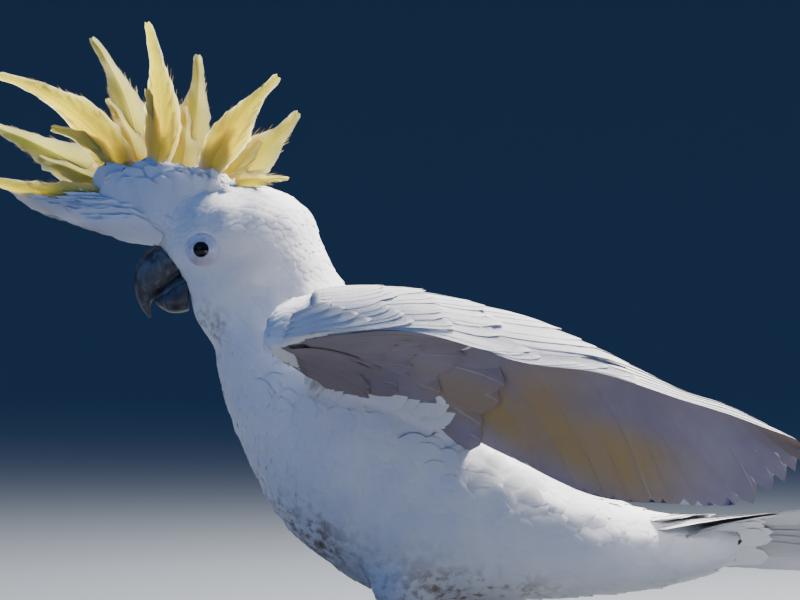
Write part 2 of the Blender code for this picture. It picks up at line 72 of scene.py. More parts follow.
# ---- shader wiring -----------------------------------------------------------------------------
class Wire:
    """A shader socket that adds Math nodes when it meets an operator."""

    def __init__(self, paint, socket):
        self.paint = paint
        self.socket = socket

    def math(self, operation, *others):
        return self.paint.node("ShaderNodeMath", {"operation": operation}, [self, *others])

    def __add__(self, other):
        return self.math("ADD", other)

    def __sub__(self, other):
        return self.math("SUBTRACT", other)

    def __rsub__(self, other):
        return self.paint.node("ShaderNodeMath", {"operation": "SUBTRACT"}, [other, self])

    def __mul__(self, other):
        return self.math("MULTIPLY", other)

    __radd__ = __add__
    __rmul__ = __mul__

    def clamp(self):
        return self.paint.node("ShaderNodeClamp", {}, [self, 0.0, 1.0])


class Paint:
    """One material and the few kinds of node that its pattern is made of."""

    def __init__(self, name, base, roughness, **constants):
        self.material = bpy.data.materials.new(name)
        self.material.use_nodes = True
        self.tree = self.material.node_tree
        self.shader = self.tree.nodes["Principled BSDF"]
        self.set("Base Color", (*base, 1.0))
        self.set("Roughness", roughness)
        for key, value in constants.items():
            self.set(key.replace("_", " "), value)

    def feed(self, target, value):
        if isinstance(value, Wire):
            self.tree.links.new(value.socket, target)
        else:
            target.default_value = value

    def set(self, name, value):
        self.feed(self.shader.inputs[name], value)

    def node(self, kind, settings=None, inputs=(), output=0):
        made = self.tree.nodes.new(kind)
        for key, value in (settings or {}).items():
            setattr(made, key, value)
        for key, value in inputs.items() if isinstance(inputs, dict) else enumerate(inputs):
            self.feed(made.inputs[key], value)
        return Wire(self, made.outputs[output])

    def vector(self, operation, first, second=(0.0, 0.0, 0.0), output="Vector"):
        return self.node("ShaderNodeVectorMath", {"operation": operation}, [first, second], output)

    def place(self):
        return self.node("ShaderNodeTexCoord", output="Object")

    def attribute(self, name):
        return self.node("ShaderNodeAttribute", {"attribute_name": name}, output="Fac")

    def mix(self, factor, first, second):
        first, second = [(*c, 1.0) if isinstance(c, tuple) else c for c in (first, second)]
        return self.node("ShaderNodeMix", {"data_type": "RGBA"}, {0: factor, 6: first, 7: second},
                         output=2)

    def noise(self, scale, detail=3.0, roughness=0.55, vector=None):
        where = self.place() if vector is None else vector
        return self.node("ShaderNodeTexNoise", {},
                         {"Vector": where, "Scale": scale, "Detail": detail, "Roughness": roughness})

    def ramp(self, value, low, high, bottom=0.0, top=1.0):
        """A smooth step of the value from low to high."""
        return self.node("ShaderNodeMapRange", {"interpolation_type": "SMOOTHSTEP"},
                         [value, low, high, bottom, top])

    def spots(self, *rows):
        """Sum of soft ellipsoids, given by centre in the design frame, radii, softness and strength."""
        total = 0.0
        for centre, radii, soft, strength in rows:
            gap = self.vector("SUBTRACT", self.place(), tuple(np.array(centre) + SHIFT))
            far = self.vector("LENGTH", self.vector("DIVIDE", gap, radii), output="Value")
            total = self.ramp(far, 1.0 - soft, 1.0 + soft, strength, 0.0) + total
        return total

    def bump(self, height, distance, strength):
        self.set("Normal", self.node("ShaderNodeBump", {},
                                     {"Strength": strength, "Distance": distance, "Height": height}))


# ---- meshes from arrays ------------------------------------------------------------------------
def mesh_object(name, points, faces):
    """A smooth mesh from (n, 3) places in the design frame and (m, 4) corners."""
    points = np.asarray(points, dtype=np.float32) + SHIFT.astype(np.float32)
    faces = np.asarray(faces, dtype=np.int32)
    mesh = bpy.data.meshes.new(name)
    mesh.vertices.add(len(points))
    mesh.vertices.foreach_set("co", points.ravel())
    mesh.loops.add(faces.size)
    mesh.loops.foreach_set("vertex_index", faces.ravel())
    mesh.polygons.add(len(faces))
    mesh.polygons.foreach_set("loop_start", np.arange(0, faces.size, 4, dtype=np.int32))
    mesh.update(calc_edges=True)
    mesh.validate()
    mesh.shade_smooth()
    return placed(name, mesh)


def placed(name, mesh):
    made = bpy.data.objects.new(name, mesh)
    bpy.context.scene.collection.objects.link(made)
    return made


def ring_quads(turns, rings):
    """Corners of the quads between rings of points, one ring after the other."""
    ring = np.arange(turns)
    after = (ring + 1) % turns
    band = np.stack([ring, after, turns + after, turns + ring], axis=1)
    return (band[None] + turns * np.arange(rings - 1)[:, None, None]).reshape(-1, 4)


def add_map(mesh, name, places):
    """A UV map from one place for each vertex."""
    corners = np.empty(len(mesh.loops), dtype=np.int32)
    mesh.loops.foreach_get("vertex_index", corners)
    layer = mesh.uv_layers.new(name=name)
    layer.data.foreach_set("uv", np.asarray(places, dtype=np.float32)[corners].ravel())


def dress(piece, paint, slot, *nodes):
    """Material, body and the nodes that a piece stands for; the slot is not used."""
    piece.data.materials.clear()
    piece.data.materials.append(paint.material)
    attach(piece, "root")
    if nodes:
        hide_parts(*nodes)


def unit(vectors):
    vectors = np.asarray(vectors, dtype=float)
    return vectors / np.maximum(np.linalg.norm(vectors, axis=-1, keepdims=True), 1e-12)


def soft_step(value, low, high):
    share = np.clip((value - low) / (high - low), 0, 1)
    return share * share * (3 - 2 * share)


def smooth_rows(rows, fractions):
    """Catmull-Rom values of a table of rows at fractions of the way through it."""
    table = np.array(rows, dtype=float)
    table = np.vstack([2 * table[0] - table[1], table, 2 * table[-1] - table[-2]])
    spans = len(rows) - 1
    place = np.clip(np.asarray(fractions, dtype=float), 0, 1) * spans
    index = np.minimum(place.astype(int), spans - 1)
    t = (place - index)[:, None]
    a, b, c, d = [table[index + step] for step in range(4)]
    bend, twist = 2 * a - 5 * b + 4 * c - d, 3 * b - a - 3 * c + d
    return 0.5 * (2 * b + (c - a) * t + bend * t ** 2 + twist * t ** 3)


class Plumes:
    """Gathers many vanes of one grid size and makes one piece of them.

    u runs along a vane from its root to its tip, and v across it from -1 to 1.
    """

    PATCH = 0.003

    def __init__(self, columns, rows):
        self.columns = columns
        self.rows = rows
        grid = np.arange((columns + 1) * (rows + 1)).reshape(rows + 1, columns + 1)
        self.quads = np.stack([grid[:-1, :-1], grid[:-1, 1:], grid[1:, 1:], grid[1:, :-1]], axis=-1)
        self.turned = grid[:, ::-1].ravel()
        self.u = np.repeat(np.linspace(0, 1, rows + 1), columns + 1)
        self.v = np.tile(np.linspace(-1, 1, columns + 1), rows + 1)
        self.vanes = []

    def add(self, points, normals, tone, under=0.0, sulphur_and_shade=0.0, bake=None):
        """points and normals (n, grid, 3); bake (n, 2) is each root's place on the unwrap, if known."""
        values = [np.broadcast_to(value, points.shape[:2]).ravel()
                  for value in (tone[:, None], under, sulphur_and_shade)]
        roots = points[:, self.columns // 2]
        self.vanes.append((points.reshape(-1, 3), normals.reshape(-1, 3), *values, roots, bake))

    def make(self, name, surface, flip=False):
        """One piece of all the vanes, on the other side of the bird if it is flipped."""
        side = MIRROR if flip else 1
        points, normals, tone, under, sulphur_and_shade, roots, bake = zip(*self.vanes)
        points = np.concatenate(points) * side
        normals = unit(np.concatenate(normals)) * side
        count = len(points) // len(self.u)
        starts = np.arange(count)[:, None, None] * len(self.u)
        faces = (self.quads.reshape(-1, 4) + starts).reshape(-1, 4)
        piece = mesh_object(name, points, faces[:, ::-1] if flip else faces)
        places = [surface.unwrap_at(root * side) if known is None else known
                  for root, known in zip(roots, bake)]
        vane = np.stack([self.v * 0.5 + 0.5, self.u], axis=-1)
        patches = (np.concatenate(places)[:, None] + (vane - 0.5) * self.PATCH).reshape(-1, 2)
        add_map(piece.data, "OFBake", np.clip(patches, 0.0, 1.0))
        add_map(piece.data, "Vane", np.tile(vane, (count, 1)))
        for key, values in (("tone", tone), ("under", under), ("sulphur_and_shade", sulphur_and_shade)):
            layer = piece.data.attributes.new(key, "FLOAT", "POINT")
            layer.data.foreach_set("value", np.concatenate(values).astype(np.float32))
        piece.data.normals_split_custom_set_from_vertices(normals.tolist())
        return piece


# ---- materials ---------------------------------------------------------------------------------
# centre, radii, softness and strength of the coat's marks
BLUSH = tuple(((-0.118, side * 0.030, 0.262), (0.024, 0.030, 0.020), 0.7, 0.22) for side in (-1, 1))
# painted shade along the lower edge of the plumes that lie forward from the brow
BROW_PAINTED_SHADE = tuple(((x, 0.0, z), (0.030, 0.020, 0.007), 0.6, 0.45)
                   for x, z in ((-0.197, 0.2835), (-0.240, 0.3005)))
SOIL = (
    ((-0.078, -0.012, 0.088), (0.030, 0.050, 0.026), 0.6, 1.0),
    ((0.030, -0.018, 0.050), (0.055, 0.040, 0.018), 0.6, 0.9),
    ((-0.136, 0.0, 0.222), (0.018, 0.024, 0.018), 0.7, 1.1),
    ((-0.030, -0.030, 0.060), (0.060, 0.040, 0.030), 0.6, 0.35),
)


def plumage_colour(paint):
    """White coat with earth on breast, belly and chin and painted shade under the brow plumes, the same
    on skin and feathers.
    """
    cloud = paint.noise(28.0, 4.0)
    fine = paint.noise(170.0)
    colour = paint.mix(paint.ramp(cloud, 0.35, 0.7), COOL_WHITE, WARM_WHITE)
    colour = paint.mix(paint.spots(*BLUSH), colour, (0.88, 0.80, 0.52))
    # painted shade under the brow plumes, in pinkish brown
    colour = paint.mix(paint.spots(*BROW_PAINTED_SHADE).clamp(), colour, (0.58, 0.45, 0.40))
    streak = paint.ramp(fine + cloud * 0.6, 0.72, 0.98)
    return paint.mix((paint.spots(*SOIL) * streak * 0.85).clamp(), colour, EARTH)


def plumage_paint():
    paint = Paint("plumage_white", WHITE, 0.78, Specular_IOR_Level=0.25, Sheen_Weight=0.25,
                  Sheen_Roughness=0.4)
    shade = paint.ramp(paint.attribute("tone"), 0.0, 1.0) * 0.16
    paint.set("Base Color", paint.mix(shade, plumage_colour(paint), (0.70, 0.70, 0.76)))
    return paint


def skin_paint():
    paint = Paint("skin_under_coat", WHITE, 0.85, Specular_IOR_Level=0.2)
    paint.set("Base Color", paint.mix(0.25, plumage_colour(paint), (0.62, 0.62, 0.68)))
    paint.bump(paint.noise(400.0), 0.0006, 0.6)
    return paint


def barbs(paint, ridges, strength):
    """Bump of a vane's barbs and shaft; gives the places across and along it, and irregular streaks."""
    vane = paint.node("ShaderNodeUVMap", {"uv_map": "Vane"})
    across, along = [paint.node("ShaderNodeSeparateXYZ", {}, [vane], output=axis) for axis in "XY"]
    off = (across - 0.5).math("ABSOLUTE")
    ridge = ((along * ridges - off * (ridges * 0.45)) * (2 * math.pi)).math("SINE")
    shaft = paint.ramp(off, 0.0, 0.05, 1.0, 0.0)
    paint.bump(ridge * 0.25 + shaft * 1.2, 0.0005, strength)
    slant = along * 46.0 - off * 22.0
    place = paint.node("ShaderNodeCombineXYZ", {}, [across * 3.0, slant, paint.attribute("tone") * 37.0])
    return across, along, off, paint.noise(1.0, 5.0, 0.7, vector=place)


def crest_paint(name, glow):
    """Sulphur yellow; glow is how much of the light goes into a closed vane and out on its far side."""
    paint = Paint(name, CREST_YELLOW, 0.7, Specular_IOR_Level=0.25, Sheen_Weight=0.15,
                  Subsurface_Weight=glow, Subsurface_Radius=(1.0, 0.80, 0.25), Subsurface_Scale=0.004)
    _, along, off, streak = barbs(paint, 90.0, 0.6)
    edge = paint.ramp(off, 0.15, 0.5, 0.0, 0.55) + paint.ramp(along, 0.45, 1.0, 0.0, 0.35)
    colour = paint.mix(edge, CREST_YELLOW, CREST_PALE)
    colour = paint.mix(paint.ramp(streak, 0.42, 0.72, 0.0, 0.30), colour, (0.90, 0.76, 0.34))
    colour = paint.mix(paint.ramp(streak, 0.52, 0.25, 0.0, 0.20), colour, (0.66, 0.45, 0.06))
    colour = paint.mix(paint.ramp(along, 0.02, 0.16, 1.0, 0.0), colour, (0.86, 0.83, 0.70))
    # painted light: loose barbs have no glow, so they are painted half paler in its place
    if glow == 0:
        colour = paint.mix(0.5, colour, (0.96, 0.84, 0.42))
    paint.set("Base Color", colour)
    return paint


def remex_paint():
    """Flight feathers: white above; below, painted shade in lilac grey and brown, washed with sulphur; a
    pale shaft.
    """
    paint = Paint("remex_white", WHITE, 0.6, Specular_IOR_Level=0.3, Sheen_Weight=0.1)
    across, _, off, streak = barbs(paint, 110.0, 0.4)
    under, tone, sulphur_and_shade = [paint.attribute(name) for name in ("under", "tone", "sulphur_and_shade")]
    cloud = paint.noise(22.0)
    # the under faces' colour is painted shade in lilac grey, with real sulphur and a pale shaft laid on
    # it; the attribute under is each face's share of it
    below = paint.mix(paint.ramp(cloud, 0.3, 0.7), PAINTED_SHADE_LILAC, (0.33, 0.29, 0.35))
    below = paint.mix(tone * 0.25, below, (0.36, 0.29, 0.31))
    below = paint.mix((sulphur_and_shade * (0.7 + streak * 0.6)).clamp(), below, WASH_YELLOW)
    # a negative share of sulphur is painted brown shade
    below = paint.mix((sulphur_and_shade * -1.0).clamp(), below, PAINTED_SHADE_BROWN)
    below = paint.mix(paint.ramp(off, 0.006, 0.025, 0.5, 0.0), below, (0.62, 0.57, 0.52))
    above = paint.mix(paint.ramp(cloud, 0.35, 0.7), COOL_WHITE, WARM_WHITE)
    above = paint.mix(tone * 0.14, above, (0.68, 0.68, 0.74))
    # painted shade: each vane darkens towards the side that its neighbour covers, with darker streaks of
    # barbs as well
    overlap_shade_and_streaks = paint.ramp(across, 0.75, 0.10, 0.0, 0.38) + paint.ramp(streak, 0.55, 0.3, 0.0, 0.12)
    paint.set("Base Color", paint.mix(overlap_shade_and_streaks, paint.mix(under, above, below), (0.16, 0.14, 0.17)))
    return paint


# ---- skin --------------------------------------------------------------------------------------
FLESH = ("head", "neck", "trunk", "thigh_left", "thigh_right", "wing_left_arm", "wing_right_arm")
LIE = (
    # x, |y|, z, lie x, lie |y|, lie z, feather length
    (-0.1760, 0.010, 0.2900, -0.75, 0.10, 0.65, 0.0090),
    (-0.2000, 0.004, 0.2940, -0.93, 0.05, 0.36, 0.0130),
    (-0.2200, 0.003, 0.3000, -0.93, 0.05, 0.36, 0.0130),
    (-0.1700, 0.000, 0.3200, -0.45, 0.10, 0.90, 0.0130),
    (-0.1450, 0.000, 0.3200, 0.20, 0.10, 1.00, 0.0130),
    (-0.1050, 0.000, 0.3170, 0.95, 0.05, 0.20, 0.0130),
    (-0.1450, 0.024, 0.2950, 0.55, 0.10, 0.60, 0.0080),
    (-0.1640, 0.016, 0.2720, 0.80, 0.20, 0.25, 0.0045),
    (-0.1500, 0.023, 0.2560, 0.80, 0.15, -0.30, 0.0060),
    (-0.1520, 0.015, 0.2400, 0.60, 0.05, -0.70, 0.0065),
    (-0.1200, 0.030, 0.2650, 0.85, 0.05, -0.45, 0.0095),
    (-0.1430, 0.000, 0.2280, 0.25, 0.00, -1.00, 0.0080),
    (-0.0680, 0.010, 0.2950, 0.55, 0.00, -0.80, 0.0150),
    (-0.0950, 0.036, 0.2400, 0.45, 0.05, -0.85, 0.0150),
    (-0.1330, 0.000, 0.1950, 0.08, 0.00, -1.00, 0.0140),
    (-0.0450, 0.010, 0.2450, 0.70, 0.00, -0.70, 0.0190),
    (-0.1100, 0.000, 0.1350, 0.35, 0.00, -0.94, 0.0190),
    (-0.0700, 0.050, 0.1600, 0.70, 0.05, -0.70, 0.0200),
    (-0.0500, 0.010, 0.0650, 0.80, 0.00, -0.55, 0.0210),
    (0.0100, 0.010, 0.0430, 1.00, 0.00, 0.00, 0.0230),
    (0.0000, 0.056, 0.1200, 0.90, 0.00, -0.42, 0.0230),
    (0.0700, 0.045, 0.0950, 0.98, 0.00, -0.10, 0.0250),
    (0.1100, 0.010, 0.0520, 1.00, 0.00, 0.18, 0.0280),
    (0.1500, 0.010, 0.0700, 1.00, 0.00, 0.25, 0.0300),
    (0.1200, 0.015, 0.1180, 0.96, 0.00, -0.20, 0.0280),
    (0.0200, 0.020, 0.1850, 0.85, 0.00, -0.50, 0.0220),
    (-0.0150, 0.034, 0.0550, 0.30, 0.00, -0.95, 0.0130),
    (0.0000, 0.030, 0.0350, 0.30, 0.00, -0.95, 0.0080),
    (-0.0930, 0.118, 0.2150, 0.95, 0.10, 0.10, 0.0090),
    (-0.0500, 0.110, 0.2450, 1.00, 0.05, 0.00, 0.0130),
    (0.0200, 0.100, 0.2400, 1.00, 0.00, -0.15, 0.0160),
    (-0.0300, 0.080, 0.2200, 0.95, -0.10, -0.20, 0.0170),
    (-0.0400, 0.100, 0.1950, 0.95, -0.05, -0.30, 0.0100),
    (0.0100, 0.080, 0.1800, 0.95, -0.05, -0.35, 0.0140),
)
SKIN_VOXEL = 0.0026
# how far the skin is set in, as a share of a feather length, and on the arms, whose edge is blended
COAT_DEPTH = 0.16
ARM_DEPTH = 0.0009
ARM_EDGE = 0.0049
ARM_BLEND = 0.0035
LUMPS_PER_METRE = 62.0
LUMP_DEPTH = 0.0016


def lie_at(points):
    """Lie of the coat and feather length at an array of places."""
    guides = np.array(LIE)
    folded = np.column_stack([points[:, 0], np.abs(points[:, 1]), points[:, 2]])
    gap = np.linalg.norm(folded[:, None, :] - guides[None, :, :3], axis=-1)
    weight = 1.0 / (gap ** 3 + 1e-7)
    weight /= weight.sum(axis=1, keepdims=True)
    lie = weight @ guides[:, 3:6]
    lie[:, 1] *= np.where(points[:, 1] < 0, -1, 1)
    return unit(lie), weight @ guides[:, 6]


def on_arms(points):
    """1 on the arms of the wings, falling to 0 at 5 mm off them."""
    gaps = []
    for name in ("wing_left_arm", "wing_right_arm"):
        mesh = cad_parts[name].data
        tree = BVHTree.FromPolygons([vert.co for vert in mesh.vertices],
                                    [face.vertices for face in mesh.polygons])
        gaps.append([tree.find_nearest(place)[3] for place in points + SHIFT])
    return np.clip((ARM_EDGE - np.min(gaps, axis=0)) / ARM_BLEND, 0, 1)


def coat_depth(points, arm):
    return ARM_DEPTH * arm + COAT_DEPTH * lie_at(points)[1] * (1 - arm)


def lumps(points, arm):
    """Soft clumps of plumage, pressed inward between them, and none on the arms."""
    swell = np.array([noise.noise(Vector(point) * LUMPS_PER_METRE) for point in points.tolist()])
    return LUMP_DEPTH * (1 - arm) * np.clip(0.5 - swell, 0, 1)


def melted(name, nodes, swell, voxel, rounds):
    """One smooth closed mesh through some nodes, each first swollen so that their gaps close."""
    shape = bmesh.new()
    for node in nodes:
        part = bmesh.new()
        part.from_mesh(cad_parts[node].data)
        bmesh.ops.remove_doubles(part, verts=part.verts, dist=1e-6)
        part.normal_update()
        for vert in part.verts:
            vert.co += vert.normal * swell
        mesh = bpy.data.meshes.new(node)
        part.to_mesh(mesh)
        part.free()
        shape.from_mesh(mesh)
    mesh = bpy.data.meshes.new(name)
    shape.to_mesh(mesh)
    shape.free()
    piece = placed(name, mesh)
    melt = piece.modifiers.new("melt", "REMESH")
    melt.mode = "VOXEL"
    melt.voxel_size = voxel
    soften = piece.modifiers.new("soften", "SMOOTH")
    soften.factor = 0.5
    soften.iterations = rounds
    bpy.context.view_layer.update()
    graph = bpy.context.evaluated_depsgraph_get()
    piece.data = bpy.data.meshes.new_from_object(piece.evaluated_get(graph))
    piece.modifiers.clear()
    piece.data.shade_smooth()
    return piece


def read(items, name, width, stored=np.float32, given=float):
    """One value of every item, as rows of an array."""
    values = np.empty(len(items) * width, dtype=stored)
    items.foreach_get(name, values)
    return values.reshape(-1, width).astype(given)


def flesh_skin():
    """One closed skin through all the flesh nodes, set in by the depth of the coat."""
    skin = melted("skin", FLESH, 0.0005, SKIN_VOXEL, 6)
    vertices = skin.data.vertices
    points = read(vertices, "co", 3) - SHIFT
    normals = read(vertices, "normal", 3)
    arm = on_arms(points)
    points = points - normals * (coat_depth(points, arm) + lumps(points, arm))[:, None]
    vertices.foreach_set("co", (points + SHIFT).astype(np.float32).ravel())
    skin.data.update()
    return skin


class SkinMap:
    """Triangles of the skin with their unwrap, for rooting feathers and laying them on it."""

    def __init__(self, skin):
        bpy.context.view_layer.objects.active = skin
        skin.select_set(True)
        bpy.ops.object.mode_set(mode="EDIT")
        bpy.ops.mesh.select_all(action="SELECT")
        bpy.ops.uv.smart_project(angle_limit=math.radians(80), island_margin=0.002)
        bpy.ops.object.mode_set(mode="OBJECT")
        skin.select_set(False)
        mesh = skin.data
        mesh.uv_layers[0].name = "OFBake"
        mesh.calc_loop_triangles()
        self.points = read(mesh.vertices, "co", 3) - SHIFT
        self.normals = read(mesh.vertices, "normal", 3)
        self.corners = read(mesh.loop_triangles, "vertices", 3, np.int32, int)
        loops = read(mesh.loop_triangles, "loops", 3, np.int32, int)
        self.unwrap = read(mesh.uv_layers["OFBake"].data, "uv", 2)[loops]
        a, b, c = [self.points[self.corners[:, k]] for k in range(3)]
        self.area = np.linalg.norm(np.cross(b - a, c - a), axis=1) / 2
        self.tree = BVHTree.FromPolygons(self.points.tolist(), self.corners.tolist())

    def sample(self, count):
        """Places, normals and unwrap places of evenly random points."""
        picks = rng.choice(len(self.area), size=count, p=self.area / self.area.sum())
        share = rng.random((count, 2))
        over = share.sum(axis=1) > 1
        share[over] = 1 - share[over]
        weights = np.stack([1 - share.sum(axis=1), share[:, 0], share[:, 1]], axis=1)[..., None]
        corners = self.corners[picks]
        tables = (self.points[corners], self.normals[corners], self.unwrap[picks])
        place, normal, unwrap = [(table * weights).sum(axis=1) for table in tables]
        return place, unit(normal), unwrap

    def unwrap_at(self, places):
        """The unwrap's place nearest to each of some places."""
        faces = [self.tree.find_nearest(place)[2] for place in places]
        return self.unwrap[faces].mean(axis=1)

    def lay(self, points, heights):
        """Move places onto the skin, then up by their heights; gives places and normals."""
        hits = [self.tree.find_nearest(place) for place in points.reshape(-1, 3)]
        found = np.array([hit[0][:] for hit in hits])
        faces = [hit[2] for hit in hits]
        normals = unit(self.normals[self.corners[faces]].mean(axis=1))
        laid = found + normals * heights.reshape(-1, 1)
        return laid.reshape(points.shape), normals.reshape(points.shape)


# ---- coat --------------------------------------------------------------------------------------
ROOTS_TRIED = 120000
# shares of a feather length: gap between roots, rise of the tip and width
ROOT_GAP = 0.25
COAT_LIFT = 0.09
COAT_SPREAD = 0.72
# distance from the middle plane where a wing starts, and radius of the bare skin round an eye
WING_ROOT = 0.066
BARE_RING = 0.0098


def spaced(places, gaps):
    """Indices of places that keep their own gap from all earlier ones, by a grid of cells."""
    cells = {}
    kept = []
    around = list(itertools.product((-1, 0, 1), repeat=3))
    keys = np.floor(places / gaps.max()).astype(int).tolist()
    for index, (place, gap, (i, j, k)) in enumerate(zip(places.tolist(), gaps.tolist(), keys)):
        near = (other for a, b, c in around for other in cells.get((i + a, j + b, k + c), ()))
        if all(math.dist(place, other) >= gap for other in near):
            cells.setdefault((i, j, k), []).append(place)
            kept.append(index)
    return kept


def feather_outline(u, root, widest, narrows, cut, power):
    """Share of the half width along a feather, which grows from the root and rounds off at the tip."""
    fall = np.clip((u - narrows) / (1 - narrows), 0, 1)
    grown = root + (1 - root) * soft_step(u, 0, widest)
    return grown * np.sqrt(np.maximum(1 - cut * fall ** power, 0.0))


def vane_outline(u, widest=0.62, root=0.30, tip=0.40):
    """A rounded vane."""
    return feather_outline(u, root, widest, widest, 1 - tip * tip, 2.4)


def remex_outline(u, point, blunt=0.985):
    """A flight feather: slender at the root, even, then rounded or pointed at the tip."""
    return feather_outline(u, 0.22, 0.22, point, blunt, 2.2)


def contour_feathers(surface, plumes, place, normal, unwrap):
    """Rounded body feathers laid over the skin, tips raised a little over the next row."""
    lie, length = lie_at(place)
    lie = unit(lie + rng.normal(0, 0.09, lie.shape))
    along = unit(lie - normal * (lie * normal).sum(axis=1, keepdims=True))
    side = np.cross(along, normal)
    length = (length * rng.uniform(0.85, 1.2, len(place)))[:, None]
    u, v = plumes.u, plumes.v
    half = vane_outline(u) * length * COAT_SPREAD / 2
    fray = rng.normal(0, 0.035, (len(place), len(u))) * (u > 0.8)
    reach = length * (u * (1 - 0.10 * v ** 2) + fray)
    points = place[:, None] + along[:, None] * reach[..., None] + side[:, None] * (half * v)[..., None]
    heights = length * (0.02 + COAT_LIFT * u ** 0.8 - 0.045 * v ** 2)
    laid, smooth = surface.lay(points, np.maximum(heights, 0.00005))
    own = unit(np.cross(side, along))
    shading = unit(smooth + own[:, None] * 0.15 + along[:, None] * (0.28 * u[:, None] - 0.10)
                   + side[:, None] * (0.22 * v[:, None]))
    plumes.add(laid, shading, rng.random(len(place)), bake=unwrap)


def coat_regions(place):
    """Which roots belong to which part of the coat; leaning planes end the head and the neck."""
    x, y, z = place.T
    wing = np.abs(y) > WING_ROOT
    head = (z - 0.266) - (x + 0.113) > 0
    neck = (z - 0.206) * 0.646 - (x + 0.087) * 0.763 > 0
    trunk = ~neck & ~head & ~wing
    return {
        "coat_wing_left": wing & (y < 0),
        "coat_wing_right": wing & (y > 0),
        "coat_head": head & ~wing,
        "coat_neck": neck & ~head & ~wing,
        "coat_breast": trunk & (x < 0.0),
        "coat_belly": trunk & (x >= 0.0),
    }


def clear_of_coverts(place, normal):
    """Leaves out the parts of each wing that the rows of coverts hide."""
    x, y, z = place.T
    inward = normal[:, 1] * np.sign(y) < 0.2
    above = (x < -0.045) & (normal[:, 2] > -0.15) & ~((x < -0.072) & (z < 0.213) & inward)
    behind = (np.abs(y) > 0.058) & (x > 0.0) & (z > 0.15)
    return ((np.abs(y) < WING_ROOT) & ~behind) | (np.abs(y) > 0.126) | above


def clear_of_face(place):
    """Leaves the bare ring round each eye and the bill's base free of feathers."""
    x, y, z = place.T
    ring = (np.hypot(x - EYE[0], z - EYE[2]) < BARE_RING) & (np.abs(y) > 0.012)
    horn = (x < -0.1500) & (z < 0.2680) & (np.abs(y) < 0.0125)
    return ~(ring | horn)


def body_coat(surface, paint):
    place, normal, unwrap = surface.sample(ROOTS_TRIED)
    keep = clear_of_face(place) & clear_of_coverts(place, normal)
    place, normal, unwrap = place[keep], normal[keep], unwrap[keep]
    kept = spaced(place, lie_at(place)[1] * ROOT_GAP)
    place, normal, unwrap = place[kept], normal[kept], unwrap[kept]
    for name, inside in coat_regions(place).items():
        plumes = Plumes(4, 4)
        contour_feathers(surface, plumes, place[inside], normal[inside], unwrap[inside])
        dress(plumes.make(name, surface), paint, "plumage")


def flank_plumes(surface, paint):
    """Rounded plumes of each flank whose tips overlap the hind edge of the underwing."""
    plumes = Plumes(8, 14)
    edge_x = (-0.085, -0.057, -0.013, 0.022, 0.030, 0.050, 0.088)
    edge_z = (0.193, 0.188, 0.178, 0.173, 0.154, 0.135, 0.118)
    u, v = 1 - (1 - plumes.u) ** 1.7, plumes.v

    def side_of_body(x, z):
        hit = surface.tree.ray_cast(Vector((x, -0.3, z)), Vector((0.0, 1.0, 0.0)))[0]
        return -0.05 if hit is None else hit.y

    for level in range(4):
        for x in np.linspace(-0.078, 0.082, 26) + 0.003 * (level % 2):
            tip_x = x - 0.007 * level + rng.normal(0, 0.0015)
            tip_z = np.interp(x, edge_x, edge_z) - 0.005 * level + rng.normal(0, 0.0015)
            length = rng.uniform(0.020, 0.028)
            run_x, run_z = unit((1.0, rng.normal(0.0, 0.10)))
            half = vane_outline(u, 0.60, 0.40, 0.0) * v * length * 0.38
            reach = (u - 1 - 0.06 * v * v) * length
            root_y = side_of_body(tip_x - length * run_x, tip_z - length * run_z)
            tip_y = side_of_body(tip_x, tip_z)
            out = 0.0008 + 0.0017 * u - 0.0004 * v * v + 0.0008 * np.sin(np.pi * u)
            places = np.stack([tip_x + reach * run_x - half * run_z, root_y * (1 - u) + tip_y * u - out,
                               tip_z + reach * run_z + half * run_x], axis=-1)[None]
            outward = surface.lay(places, np.zeros(len(u)))[1]
            add_vanes(plumes, places, 0.0001, outward=outward)
    for side, flip in SIDES:
        dress(plumes.make(f"flank_plumes_{side}", surface, flip), paint, "plumage")


# ---- closed vanes ------------------------------------------------------------------------------
# half the thickness left at a vane's edges, and the share of its own form in the shading of a mass
VANE_EDGE = 0.00002
OWN_SHADING = 0.22


def grid_normals(points, plumes):
    """Normals of vanes given as (n, grid, 3), from their own grid."""
    grid = points.reshape(len(points), plumes.rows + 1, plumes.columns + 1, 3)
    along = np.gradient(grid, axis=1)
    across = np.gradient(grid, axis=2)
    return unit(np.cross(across, along)).reshape(points.shape)


def add_vanes(plumes, points, thickness, under=1.0, sulphur_and_shade=0.0, outward=None):
    """Closed vanes: an upper face, and an under face that meets it along the edges.

    Where the directions out of the plumage are given, shading follows the rounded mass of all the vanes.
    """
    tone = rng.random(len(points))
    normals = grid_normals(points, plumes)
    if outward is not None:
        facing = np.where((normals * outward).sum(axis=-1, keepdims=True) < 0, -1.0, 1.0)
        normals = unit(normals * OWN_SHADING + outward * facing)
    depth = thickness * (1 - np.abs(plumes.v)) ** 0.5 * (1 - 0.5 * plumes.u) + VANE_EDGE
    step = normals * depth[None, :, None]
    sulphur_and_shade = np.broadcast_to(sulphur_and_shade, points.shape[:2])
    turned = plumes.turned
    plumes.add(points + step, normals, tone)
    plumes.add((points - step)[:, turned], -normals[:, turned], tone, under, sulphur_and_shade[:, turned])


def frayed(half, plumes):
    """Places across flight feathers or coverts, their outermost ones a little uneven."""
    return half * (1 + rng.normal(0, 0.02, half.shape) * (np.abs(plumes.v) > 0.9))


